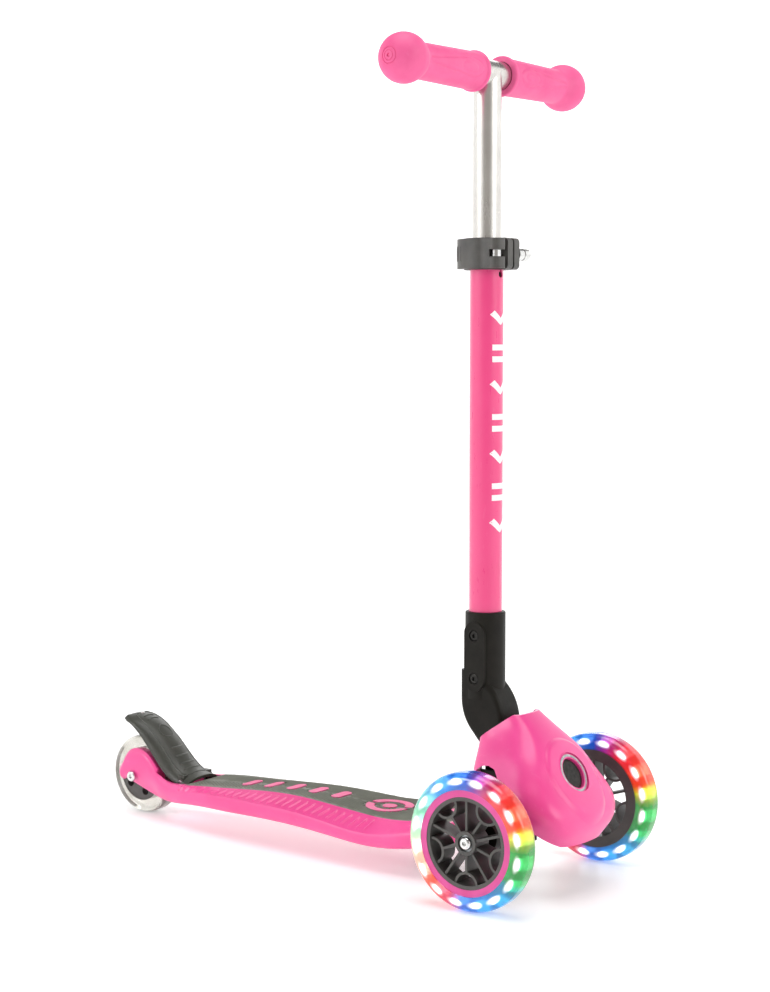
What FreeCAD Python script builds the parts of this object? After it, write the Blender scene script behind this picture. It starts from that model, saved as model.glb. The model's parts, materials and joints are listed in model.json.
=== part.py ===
import FreeCAD, Part
import os
from math import cos, sin, radians, degrees, atan2, sqrt

# Three-wheeled folding kick scooter for a small child, in millimetres.
# +X is forward, +Y is the rider's left and +Z is up. The model is laid out with the front axle at x = 0,
# and save() moves every piece so that the origin lies on the floor under the middle of the scooter.

os.makedirs("parts", exist_ok=True)

# Overall sizes
wheelbase = 477.4
front_wheel_radius = 60.5
rear_wheel_radius = 40.0
front_track = 212.2
handlebar_height = 723.4
handlebar_half_length = 126.9
stem_x = -57.5
origin_shift = (wheelbase + rear_wheel_radius - front_wheel_radius) / 2

# Clearances
running_fit = 0.05
slide_fit = 0.06
seat_gap = 0.3
body_gap = 0.4

# Front wheels
front_wheel_width = 22.7
ring_outer_radius = 46.0
rim_outer_radius = 40.0
rim_wall = 3.5
boss_radius = 10.5
wheel_spokes = 5
spoke_thickness = 2.2
front_bearing_radius = 7.5
front_bearing_width = 5.0
front_bolt_radius = 3.0
front_bolt_head_radius = 5.7
front_bolt_head_height = 3.3
led_count = 16
led_radius = 53.0
led_length = 11.0
led_thickness = 4.6

# Rear wheel
rear_wheel_width = 22.5
rear_core_radius = 27.0
rear_bearing_radius = 11.0
rear_bearing_width = 7.0
rear_bolt_radius = 4.0
arm_inner = 13.2
arm_outer = 24.0

# Tubes and handlebar
post_radius = 15.0
post_wall = 1.5
bush_space = 0.8
riser_radius = post_radius - post_wall - bush_space
riser_wall = 1.4
sleeve_radius = post_radius + 3.3
sleeve_bottom = 165.0
sleeve_top = 243.0
post_top = 576.0
cross_tube_radius = riser_radius - 0.2
height_travel = 100.0
grip_radius = cross_tube_radius + 4.3
grip_neck_radius = cross_tube_radius + 2.9
grip_flange_radius = cross_tube_radius + 5.7
grip_ball_radius = cross_tube_radius + 9.1
grip_start = 20.0
cross_half = handlebar_half_length - 8.0

# Clamp at the top of the post
clamp_bottom = 550.0
clamp_top = 578.0
clamp_radius = post_radius + 5.4
clamp_bolt_offset = clamp_radius + 1.1
clamp_bolt_radius = 2.5
lever_pin_y = -17.8
clamp_nut_seat = 7.3
lever_head_radius = 8.0

# Fold joint
fold_x = -20.0
fold_z = 112.0
knuckle_boss_radius = 18.0
knuckle_half_width = 16.5
cheek_inner = knuckle_half_width + 0.7
cheek_outer = cheek_inner + 4.8
fold_pin_radius = 5.0
slot_half_width = knuckle_half_width + 1.5

# Steering pivot: the axis rises forward at this angle through the middle of the truck
steer_angle = 45.0
steer_x = -14.0
steer_z = 56.0
king_bolt_radius = 5.0
truck_boss_radius = 14.0
truck_arm_radius = 12.5
truck_inner_half = front_track / 2 - 26.1
truck_spigot_radius = 5.4

# Fold release button on the front of the cover
button_x = 36.5
button_z = 105.7
button_tilt = 29.5
button_radius = 14.0
button_ring_radius = 17.7
button_ring_wall = 2.2
hook_x = 8.0
hook_z = 104.0
hook_pin_radius = 2.5

# Front cover
cover_wall = 2.6

# Deck and pad
pad_thickness = 3.0
pad_rear = 79.1 - wheelbase
pad_front = -66.0
deck_skin = 4.0
inlay_height = 0.9

# Brake
brake_pivot_x = 65.4 - wheelbase
brake_pivot_z = 41.5
brake_pin_radius = 2.5
brake_wall = 3.5
shoe_gap = 3.4

# Wheelbase and rear wheel for which the deck's and brake's stations are drawn
drawn_wheelbase = 477.4
drawn_rear_radius = 40.0


def vec(x, y, z):
    return FreeCAD.Vector(x, y, z)


origin = vec(0, 0, 0)
along_x = vec(1, 0, 0)
along_y = vec(0, 1, 0)
along_z = vec(0, 0, 1)


def box(x0, x1, y0, y1, z0, z1):
    return Part.makeBox(x1 - x0, y1 - y0, z1 - z0, vec(x0, y0, z0))


def rod(radius, start, end):
    return Part.makeCylinder(radius, (end - start).Length, start, end - start)


def tube(outer, inner, start, end):
    return rod(outer, start, end).cut(rod(inner, start, end))


def fuse(shapes):
    joined = shapes[0].multiFuse(shapes[1:]) if len(shapes) > 1 else shapes[0]
    return joined.removeSplitter()


def group(shapes):
    return Part.makeCompound(shapes)


def both_sides(shape):
    return [shape, shape.mirror(origin, along_y)]


def polygon(points):
    return Part.makePolygon(list(points) + [points[0]])


def side_plate(points, y0, y1):
    """Extrude an outline of (x, z) points from y0 to y1."""
    wire = polygon([vec(x, y0, z) for x, z in points])
    return Part.Face(wire).extrude(vec(0, y1 - y0, 0))


def curve(points):
    spline = Part.BSplineCurve()
    spline.interpolate(points)
    return spline.toShape()


def soften(shape, radius, chosen):
    """Round the edges that the test picks."""
    edges = [edge for edge in shape.Edges if chosen(edge)]
    return shape.makeFillet(radius, edges)


def save(name, shape):
    placed = shape.copy()
    placed.translate(vec(origin_shift, 0, 0))
    if len(placed.Solids) == 1:
        placed = placed.Solids[0]
    placed.exportStep("parts/" + name + ".step")
    print(name, len(shape.Solids), round(shape.Volume / 1000, 1), shape.isValid())


def deck_x(x):
    """Place of a station drawn at x: the deck's ends keep their length, its middle takes up the wheelbase."""
    share = min(max((-120.0 - x) / 280.0, 0.0), 1.0)
    return x + (drawn_wheelbase - wheelbase) * share


def brake_x(x):
    """Place of a station at the rear wheel drawn at x."""
    return x + drawn_wheelbase - wheelbase


def rear_z(x, z, per_radius=1.0):
    """Height of a station drawn at x and z: behind the brake pin it rises with the rear wheel."""
    share = min(max((-413.0 - x) / 27.0, 0.0), 1.0)
    return z + (rear_wheel_radius - drawn_rear_radius) * share * per_radius


# ---------------------------------------------------------------- directions of the inclined parts

steer_axis = vec(cos(radians(steer_angle)), 0, sin(radians(steer_angle)))
steer_up = vec(-sin(radians(steer_angle)), 0, cos(radians(steer_angle)))
steer_centre = vec(steer_x, 0, steer_z)
button_out = vec(cos(radians(button_tilt)), 0, sin(radians(button_tilt)))
button_centre = vec(button_x, 0, button_z)
fold_centre = vec(fold_x, 0, fold_z)
hook_centre = vec(hook_x, 0, hook_z)


def steer_point(along, up, y=0.0):
    return steer_centre + steer_axis * along + steer_up * up + vec(0, y, 0)


def steer_block(along0, along1, up0, up1, y0, y1):
    """Box whose sides follow the steering axis."""
    corners = [(along0, up0), (along1, up0), (along1, up1), (along0, up1)]
    wire = polygon([steer_point(a, u, y0) for a, u in corners])
    return Part.Face(wire).extrude(vec(0, y1 - y0, 0))


# ---------------------------------------------------------------- front wheels

front_axle_z = front_wheel_radius


def capsule_bar(radius, length, thickness, depth, centre, angle):
    """Rounded bar lying along the circumference of a wheel, depth being its size along Y."""
    ends = [-(length - thickness) / 2, (length - thickness) / 2]
    caps = [rod(thickness / 2, vec(radius, -depth / 2, e), vec(radius, depth / 2, e)) for e in ends]
    middle = box(radius - thickness / 2, radius + thickness / 2, -depth / 2, depth / 2, ends[0], ends[1])
    bar = fuse(caps + [middle])
    bar.rotate(origin, along_y, angle)
    bar.translate(centre)
    return bar


def front_tyre(centre):
    half = front_wheel_width / 2
    shoulder = 8.0
    body = tube(front_wheel_radius, ring_outer_radius, centre - vec(0, half, 0), centre + vec(0, half, 0))
    return soften(body, shoulder, lambda edge: abs(edge.BoundBox.XLength - 2 * front_wheel_radius) < 0.1)


def front_leds(centre):
    depth = front_wheel_width * 0.55
    bars = []
    for i in range(led_count):
        angle = 360.0 / led_count * (i + 0.5)
        bars.append(capsule_bar(led_radius, led_length, led_thickness, depth, centre, angle))
    return bars


def spoke(angle, start, end, centre, thickness, half):
    bar = box(start, end, -half, half, -thickness / 2, thickness / 2)
    bar.rotate(origin, along_y, angle)
    bar.translate(centre)
    return bar


def front_hub(centre):
    half = front_wheel_width / 2 - 1.0
    across = vec(0, half, 0)
    rim_inner = rim_outer_radius - rim_wall
    rim = tube(rim_outer_radius, rim_inner, centre - across, centre + across)
    boss = rod(boss_radius, centre - across, centre + across)
    pieces = [rim, boss]
    rib_half = half - 1.6
    arc_radius = 11.0
    arc_distance = rim_inner + 0.5
    disc = rod(rim_inner + 1, centre - across, centre + across)
    for i in range(wheel_spokes):
        turn = -90.0 + 360.0 / wheel_spokes * i
        pieces.append(spoke(turn, boss_radius - 1, rim_inner + 1, centre, spoke_thickness, rib_half))
        between = turn + 180.0 / wheel_spokes
        arc_start = arc_distance - arc_radius
        pieces.append(spoke(between, boss_radius - 1, arc_start, centre, spoke_thickness, rib_half))
        spot = vec(arc_distance, 0, 0)
        ring = tube(arc_radius + spoke_thickness / 2, arc_radius - spoke_thickness / 2,
                    spot - vec(0, rib_half, 0), spot + vec(0, rib_half, 0))
        ring.rotate(origin, along_y, between)
        ring.translate(centre)
        pieces.append(ring.common(disc))
    hub = fuse(pieces)
    seat = front_bearing_width + front_bolt_head_height + seat_gap
    for side in (1, -1):
        face = centre + vec(0, side * half, 0)
        hub = hub.cut(rod(front_bearing_radius, face, centre + vec(0, side * (half - seat), 0)))
    hub = hub.cut(rod(front_bearing_radius - 1.0, centre - across, centre + across))
    return hub


def front_wheel(name, side):
    centre = vec(0, side * front_track / 2, front_axle_z)
    half = front_wheel_width / 2
    leds = front_leds(centre)
    save("front_tyre_" + name, front_tyre(centre).cut(group(leds)))
    save("led_modules_" + name, group(leds))
    ring_half = vec(0, half - 0.6, 0)
    save("rim_ring_" + name, tube(ring_outer_radius, rim_outer_radius, centre - ring_half, centre + ring_half))
    save("front_hub_" + name, front_hub(centre))
    bearings = []
    hub_half = half - 1.0
    bearing_out = hub_half - front_bolt_head_height - seat_gap
    for face in (1, -1):
        start = centre + vec(0, face * bearing_out, 0)
        end = centre + vec(0, face * (bearing_out - front_bearing_width), 0)
        bearings.append(tube(front_bearing_radius, front_bolt_radius + running_fit, start, end))
    save("front_bearings_" + name, group(bearings))


def socket_bolt(head_radius, head_height, shank_radius, head_start, end, socket):
    """Round-headed bolt with a hexagonal socket, its head starting at head_start."""
    way = (end - head_start).normalize()
    under = head_start + way * head_height
    head = rod(head_radius, head_start, under)
    head = soften(head, head_height * 0.55, lambda e: e.Curve.TypeId == "Part::GeomCircle"
                  and (e.CenterOfMass - head_start).Length < 0.1)
    bolt = fuse([head, rod(shank_radius, head_start + way, end)])
    side = way.cross(along_x)
    if side.Length < 0.1:
        side = way.cross(along_z)
    side.normalize()
    other = way.cross(side)
    corners = []
    for i in range(6):
        turn = radians(60 * i)
        corners.append(head_start + (side * cos(turn) + other * sin(turn)) * socket)
    recess = Part.Face(polygon(corners)).extrude(way * head_height * 0.7)
    return bolt.cut(recess)


def front_axle(name, side):
    """Bolt on which a front wheel turns, with the magnet sleeve that drives its lamps."""
    centre = vec(0, side * front_track / 2, front_axle_z)
    hub_half = front_wheel_width / 2 - 1.0
    head_start = centre + vec(0, side * (hub_half + 1.8), 0)
    head_height = front_bolt_head_height + 1.8
    end = vec(0, side * (truck_inner_half - 8.0), front_axle_z)
    bolt = socket_bolt(front_bolt_head_radius, head_height, front_bolt_radius, head_start, end, 2.3)
    save("front_axle_bolt_" + name, bolt)
    bearing_in = hub_half - front_bolt_head_height - seat_gap - front_bearing_width - seat_gap
    reach = vec(0, bearing_in, 0)
    sleeve = tube(front_bearing_radius - 1.0 - body_gap, front_bolt_radius, centre - reach, centre + reach)
    save("magnet_sleeve_" + name, sleeve)


# ---------------------------------------------------------------- rear wheel

rear_axle = vec(-wheelbase, 0, rear_wheel_radius)


def rear_wheel():
    half = rear_wheel_width / 2
    across = vec(0, half, 0)
    tyre = tube(rear_wheel_radius, rear_core_radius, rear_axle - across, rear_axle + across)
    save("rear_tyre", soften(tyre, 7.0, lambda edge: abs(edge.BoundBox.XLength - 2 * rear_wheel_radius) < 0.1))
    core_half = vec(0, half - 1.2, 0)
    core = rod(rear_core_radius, rear_axle - core_half, rear_axle + core_half)
    for i in range(wheel_spokes):
        window = rod(4.2, vec(18.2, -half, 0), vec(18.2, half, 0))
        window.rotate(origin, along_y, 360.0 / wheel_spokes * i)
        window.translate(rear_axle)
        core = core.cut(window)
    bearing_out = half - 1.2
    for face in (1, -1):
        start = rear_axle + vec(0, face * bearing_out, 0)
        end = rear_axle + vec(0, face * (bearing_out - rear_bearing_width), 0)
        core = core.cut(rod(rear_bearing_radius, start, end))
    core = core.cut(rod(rear_bearing_radius - 1.5, rear_axle - core_half, rear_axle + core_half))
    save("rear_hub", core)
    bearings = []
    spacers = []
    for face in (1, -1):
        start = rear_axle + vec(0, face * bearing_out, 0)
        end = rear_axle + vec(0, face * (bearing_out - rear_bearing_width), 0)
        bearings.append(tube(rear_bearing_radius, rear_bolt_radius + running_fit, start, end))
        near = rear_axle + vec(0, face * (bearing_out + seat_gap), 0)
        far = rear_axle + vec(0, face * arm_inner, 0)
        spacers.append(tube(6.0, rear_bolt_radius, near, far))
    save("rear_bearings", group(bearings))
    save("rear_axle_spacers", group(spacers))
    head_start = rear_axle - vec(0, arm_outer + 2.4, 0)
    bolt = socket_bolt(5.2, 2.4, rear_bolt_radius, head_start, rear_axle + vec(0, arm_outer - 1.0, 0), 2.4)
    save("rear_axle_bolt", bolt)
    nut = rod(5.2, rear_axle + vec(0, arm_outer, 0), rear_axle + vec(0, arm_outer + 2.4, 0))
    nut = soften(nut, 1.3, lambda e: abs(e.CenterOfMass.y - arm_outer - 2.4) < 0.1)
    save("rear_axle_nut", nut)


# ---------------------------------------------------------------- deck

# Stations along the deck: x, half-width, bottom z, crease z, pad half-width, pad z
deck_stations = [
    (-496.5, 22.0, 33.0, 47.0, 19.0, 50.0),
    (-490.0, 23.5, 34.8, 55.0, 20.5, 58.0),
    (-480.0, 24.0, 32.0, 64.0, 21.0, 67.5),
    (-468.0, 24.5, 28.3, 65.5, 21.5, 69.0),
    (-456.0, 25.5, 25.0, 62.0, 22.5, 65.0),
    (-445.0, 27.0, 22.5, 52.5, 24.0, 55.5),
    (-434.0, 29.5, 21.0, 43.0, 26.5, 46.0),
    (-420.0, 32.5, 20.8, 38.0, 30.0, 41.5),
    (-400.0, 37.0, 22.6, 37.0, 32.0, 42.3),
    (-375.0, 41.0, 24.5, 39.3, 32.2, 44.7),
    (-345.0, 44.5, 25.2, 41.0, 30.5, 46.6),
    (-300.0, 48.0, 26.2, 41.7, 27.6, 49.5),
    (-255.0, 51.0, 26.2, 41.5, 29.5, 51.2),
    (-210.0, 54.0, 24.2, 38.8, 34.1, 49.9),
    (-180.0, 56.0, 22.2, 35.6, 36.5, 48.2),
    (-150.0, 57.5, 21.4, 34.8, 41.5, 47.7),
    (-120.0, 58.5, 24.0, 39.0, 48.0, 50.1),
    (-90.0, 57.0, 29.0, 45.0, 49.0, 53.6),
    (-68.0, 52.0, 32.5, 49.0, 46.0, 55.4),
    (-54.0, 45.0, 34.5, 50.5, 40.0, 56.0),
]
deck_stations = [(deck_x(x), half, rear_z(x, bottom), rear_z(x, crease), pad_half, rear_z(x, pad_z))
                 for x, half, bottom, crease, pad_half, pad_z in deck_stations]


def deck_section(x, half, bottom, crease, pad_half, pad_z):
    """Closed section of the deck at x."""
    low = half - 7.0
    middle = (bottom + crease) / 2 + 1.5
    left_low = vec(x, -low, bottom)
    right_low = vec(x, low, bottom)
    right_mid = vec(x, half, middle)
    right_fold = vec(x, half - 1.0, crease)
    right_pad = vec(x, pad_half, pad_z)
    left_pad = vec(x, -pad_half, pad_z)
    left_fold = vec(x, -half + 1.0, crease)
    left_mid = vec(x, -half, middle)
    edges = [
        Part.makeLine(left_low, right_low),
        Part.Arc(right_low, right_mid, right_fold).toShape(),
        Part.makeLine(right_fold, right_pad),
        Part.makeLine(right_pad, left_pad),
        Part.makeLine(left_pad, left_fold),
        Part.Arc(left_fold, left_mid, left_low).toShape(),
    ]
    return Part.Wire(edges)


def deck_outer():
    return Part.makeLoft([deck_section(*station) for station in deck_stations], True, False)


def pad_region(raise_by):
    """Solid that follows the top of the deck, from the mat's underside to the given height above it."""
    wires = []
    for x, half, bottom, crease, pad_half, pad_z in deck_stations:
        if x < brake_x(-425.0):
            continue
        low = pad_z - pad_thickness
        high = pad_z + raise_by
        wires.append(polygon([vec(x, -pad_half, low), vec(x, pad_half, low),
                              vec(x, pad_half, high), vec(x, -pad_half, high)]))
    return Part.makeLoft(wires, True, False)


def pad_window():
    """Tall block between the two ends of the mat."""
    return box(pad_rear, pad_front, -80, 80, 0, 90)


def inlay_bar(x, width):
    """Tall round-ended bar that lies across the mat."""
    end = width / 2 - 5.0
    return fuse([box(x - 5, x + 5, -end, end, 20, 80), rod(5, vec(x, -end, 20), vec(x, -end, 80)),
                 rod(5, vec(x, end, 20), vec(x, end, 80))])


def inlay_cutters():
    """Row of pale pads in the mat: round-ended bars either side of one ring."""
    shapes = [inlay_bar(deck_x(x), 26.0) for x in (-335.0, -307.0, -279.0, -251.0, -223.0)]
    ring_x = deck_x(-165.0)
    ring = tube(23, 15, vec(ring_x, 0, 20), vec(ring_x, 0, 80))
    ring = ring.cut(box(ring_x - 30, ring_x + 30, -3, 3, 10, 90))
    shapes += ring.Solids
    shapes.append(rod(7, vec(ring_x, 0, 20), vec(ring_x, 0, 80)))
    shapes += [inlay_bar(x, 44.0) for x in (-118.0, -92.0)]
    return shapes


def build_deck():
    outer = deck_outer()
    window = pad_window()
    pocket = pad_region(30.0).common(window)
    deck = outer.cut(pocket)

    # Room for the rear wheel between the two arms
    wheel_clear = rear_wheel_radius + 4.0
    slot = rod(wheel_clear, rear_axle - vec(0, arm_inner, 0), rear_axle + vec(0, arm_inner, 0))
    slot = slot.fuse(box(-wheelbase - 63, -wheelbase, -arm_inner, arm_inner, -10, 130))
    deck = deck.cut(slot)

    # Seat for the brake's foot
    foot_top = 36.0
    deck = deck.cut(box(brake_x(-441), pad_rear, -26.5, 26.5, foot_top, 75))

    # Hollow underneath, open at the bottom, with cross ribs left standing
    hollow_sections = []
    for x, half, bottom, crease, pad_half, pad_z in deck_stations:
        if pad_rear - 3.0 < x < -60.0:
            inner = min(half - 9.0, pad_half + 4.0)
            roof = min(pad_z - pad_thickness - deck_skin, crease + 1.0)
            outline = [(-inner, 0), (inner, 0), (inner * 0.92, roof), (-inner * 0.92, roof)]
            hollow_sections.append(polygon([vec(x, y, z) for y, z in outline]))
    hollow = Part.makeLoft(hollow_sections, True, True)
    rib_wall = 2.4
    ribs = []
    for i in range(6):
        x = deck_x(-372.0 + 40.0 * i)
        ribs.append(box(x, x + rib_wall, -60, 60, 0, 60))
    for y in (-14.0, 14.0 - rib_wall):
        ribs.append(box(pad_rear - 2, -165, y, y + rib_wall, 0, 60))
    hollow = hollow.cut(group(ribs))
    deck = deck.cut(hollow)
    deck = deck.cut(box(-72, -40, -31, 31, 20, 41))

    # Bosses for the screws that hold the chassis
    for x, y in chassis_screw_spots():
        deck = deck.fuse(rod(5.0, vec(x, y, chassis_top), vec(x, y, 43.5)))
        deck = deck.cut(rod(screw_radius, vec(x, y, chassis_top - 1), vec(x, y, 42.5)))

    # Axle and brake pin holes, and the lug that carries the brake pin
    lug = fuse([box(brake_pivot_x - 5, brake_pivot_x + 5, -8, 8, 30, brake_pivot_z),
                rod(5.0, vec(brake_pivot_x, -8, brake_pivot_z), vec(brake_pivot_x, 8, brake_pivot_z))])
    deck = deck.fuse(lug)
    pivot = vec(brake_pivot_x, 0, brake_pivot_z)
    deck = deck.cut(rod(brake_pin_radius, pivot - vec(0, 9, 0), pivot + vec(0, 9, 0)))
    deck = deck.cut(rod(rear_bolt_radius, rear_axle - vec(0, 40, 0), rear_axle + vec(0, 40, 0)))
    for side in (1, -1):
        seat = rod(9.0, rear_axle + vec(0, side * arm_outer, 0), rear_axle + vec(0, side * 40, 0))
        deck = deck.cut(seat)
    solids = sorted(deck.Solids, key=lambda s: s.Volume)
    save("deck_frame", solids[-1])

    pad = pad_region(0.0).common(window).common(outer)
    cutters = inlay_cutters()
    inlays = [pad_region(inlay_height).common(window).common(c) for c in cutters]
    save("foot_pad", pad.cut(group(cutters)))
    save("pad_inlays", group(inlays))


# ---------------------------------------------------------------- chassis under the front of the deck

chassis_bottom = 31.0
chassis_top = 38.5
chassis_rear = -127.0
screw_radius = 2.0


def chassis_screw_spots():
    return [(x, y) for x in (-116.0, -82.0) for y in (-22.0, 22.0)]


def chassis_screws():
    screws = []
    for x, y in chassis_screw_spots():
        head = vec(x, y, chassis_bottom - 2.5)
        screws.append(socket_bolt(4.0, 2.5, screw_radius, head, vec(x, y, 42.0), 1.6))
    save("chassis_screws", group(screws))


def front_chassis():
    base = box(chassis_rear, -20, -30, 30, chassis_bottom, chassis_top)
    cheek_outline = [(-46.5, 34), (-46.5, 86), (-42.5, 92), (-42.5, 122), (-38, 128), (-24, 133), (-6, 129),
                     (12, 113), (23, 103), (24, 88), (16, 73), (12, 60), (5, 60), (-2, 74), (-22, 78), (-33, 66),
                     (-33, 34)]
    cheeks = both_sides(side_plate(cheek_outline, cheek_inner, cheek_outer))
    lower_lug = steer_block(-23.5, -14.5, -14, 12, -cheek_inner - 1, cheek_inner + 1)
    upper_lug = steer_block(14.5, 23.5, -13, 12, -cheek_inner - 1, cheek_inner + 1)
    shelf = both_sides(steer_block(-9, 9, 27, 31, cheek_outer - 1, 36))
    wing = box(-52, -34, -44, 44, 43, 48.5)
    wing_post = both_sides(box(-46.5, -34, cheek_inner, 30, chassis_top - 1, 44))
    side_skin = both_sides(box(-38, 0, 33.0, 36.0, 82, 106))
    side_web = both_sides(box(-38, 0, cheek_outer - 1, 36.0, 97, 101))
    chassis = fuse([base, lower_lug, upper_lug, wing] + cheeks + shelf + wing_post + side_skin + side_web)
    # Room for the truck arms to swing, the king bolt, its head and its nut
    swing = truck_boss_radius + 7.0
    for side in (1, -1):
        near = steer_point(0, 0, side * (cheek_inner - 0.1))
        chassis = chassis.cut(rod(swing, near, steer_point(0, 0, side * 70)))
    beam_room = steer_block(-14.4, 20, -60, 60, -50, 50)
    chassis = chassis.cut(box(-47.5, -10, -cheek_inner, cheek_inner, 42.5, 50).common(beam_room))
    chassis = chassis.cut(rod(king_bolt_radius, steer_point(-40, 0), steer_point(40, 0)))
    chassis = chassis.cut(rod(9.5, steer_point(-40, 0), steer_point(-23.5, 0)))
    # Pins for the stem and the hook
    chassis = chassis.cut(rod(fold_pin_radius, fold_centre - vec(0, 60, 0), fold_centre + vec(0, 60, 0)))
    chassis = chassis.cut(rod(hook_pin_radius, hook_centre - vec(0, 60, 0), hook_centre + vec(0, 60, 0)))
    for x, y in chassis_screw_spots():
        chassis = chassis.cut(rod(screw_radius, vec(x, y, 20), vec(x, y, 50)))
    for side in (1, -1):
        spot = vec(cover_screw_x, side * cover_screw_y, 30)
        chassis = chassis.cut(rod(screw_radius, spot, spot + vec(0, 0, 30)))
    save("front_chassis", chassis)
    reach = vec(0, cheek_outer, 0)
    pin = rod(fold_pin_radius, fold_centre - reach, fold_centre + reach)
    head = rod(7.5, fold_centre - reach - vec(0, 3, 0), fold_centre - reach)
    save("fold_pivot_pin", fuse([pin, head]))
    save("fold_pin_clip", rod(7.0, fold_centre + reach, fold_centre + reach + vec(0, 2, 0)))
    save("hook_pin", rod(hook_pin_radius, hook_centre - reach, hook_centre + reach))


# ---------------------------------------------------------------- steering truck

def truck():
    boss = rod(truck_boss_radius, steer_point(-14, 0), steer_point(14, 0))
    middle = steer_block(-12, 12, -11.5, 11.5, -27, 27)
    pieces = [boss, middle]
    hub_half = front_wheel_width / 2 - 1.0
    bearing_face = front_track / 2 - hub_half + front_bolt_head_height
    for side in (1, -1):
        inner = Part.Wire(Part.makeCircle(truck_arm_radius, steer_point(0, 0, side * 22), along_y))
        arm_end = vec(0, side * truck_inner_half, front_axle_z)
        outer = Part.Wire(Part.makeCircle(truck_arm_radius - 1.0, arm_end, along_y))
        pieces.append(Part.makeLoft([inner, outer], True, True))
        wheel_face = front_track / 2 - front_wheel_width / 2
        start = vec(0, side * (truck_inner_half - 4), front_axle_z)
        pieces.append(rod(14.0, start, vec(0, side * (wheel_face - 6), front_axle_z)))
        pieces.append(rod(truck_spigot_radius, start, vec(0, side * bearing_face, front_axle_z)))
    beam = fuse(pieces)
    beam = beam.cut(rod(king_bolt_radius + running_fit, steer_point(-30, 0), steer_point(30, 0)))
    for side in (1, -1):
        far = vec(0, side * front_track / 2, front_axle_z)
        beam = beam.cut(rod(front_bolt_radius, vec(0, side * (truck_inner_half - 8), front_axle_z), far))
    save("truck_beam", beam)


def king_bolt():
    end = steer_point(27, 0)
    bolt = socket_bolt(8.0, 5.0, king_bolt_radius, steer_point(-28.5, 0), end, 3.6)
    save("king_bolt", bolt)
    nut = tube(8.5, king_bolt_radius, steer_point(23.5, 0), steer_point(30.5, 0))
    save("king_nut", nut.cut(rod(king_bolt_radius, steer_point(20, 0), end)))


def steering_blocks():
    blocks = []
    for side in (1, -1):
        foot = steer_point(0, truck_arm_radius + 0.1, side * 28.6)
        blocks.append(rod(6.0, foot, steer_point(0, 27, side * 28.6)))
    save("steering_blocks", group(blocks))


# ---------------------------------------------------------------- front cover

# Levels up the cover: z, rear x, rear half-width, front half-width, front x on the middle line
cover_levels = [
    (36.0, -50.0, 40.0, 24.0, 38.0),
    (46.0, -52.0, 42.0, 38.0, 52.0),
    (60.0, -53.0, 43.0, 54.0, 58.0),
    (75.0, -53.0, 43.0, 62.0, 56.5),
    (90.0, -52.0, 42.0, 62.0, 47.0),
    (105.0, -51.0, 40.0, 54.0, 37.0),
    (120.0, -50.0, 34.0, 45.0, 28.0),
    (133.0, -50.0, 27.5, 34.0, 17.5),
    (145.0, -49.0, 24.5, 25.0, 4.5),
    (156.0, -47.0, 22.5, 20.5, -9.5),
    (166.0, -46.0, 21.0, 18.5, -22.0),
]


def cover_section(z, rear, rear_half, front_half, front, inset=0.0):
    rear = rear + inset
    front = front - inset
    rear_half = rear_half - inset
    front_half = front_half - inset
    middle = (rear + front) / 2
    reach = front - rear
    half_line = [
        (rear, 0.0),
        (rear + reach * 0.012, rear_half * 0.62),
        (rear + reach * 0.085, rear_half * 0.97),
        (middle - reach * 0.08, rear_half * 0.45 + front_half * 0.57),
        (front - reach * 0.25, front_half * 0.99),
        (front - reach * 0.075, front_half * 0.84),
        (front - reach * 0.012, front_half * 0.45),
        (front, 0.0),
    ]
    points = [vec(x, -y, z) for x, y in half_line]
    points += [vec(x, y, z) for x, y in reversed(half_line[1:-1])]
    spline = Part.BSplineCurve()
    spline.interpolate(Points=points, PeriodicFlag=True)
    return Part.Wire(spline.toShape())


def cover_solid(inset=0.0):
    return Part.makeLoft([cover_section(*level, inset=inset) for level in cover_levels], True, False)


cover_screw_x = -45.5
cover_screw_y = 38.0


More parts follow.
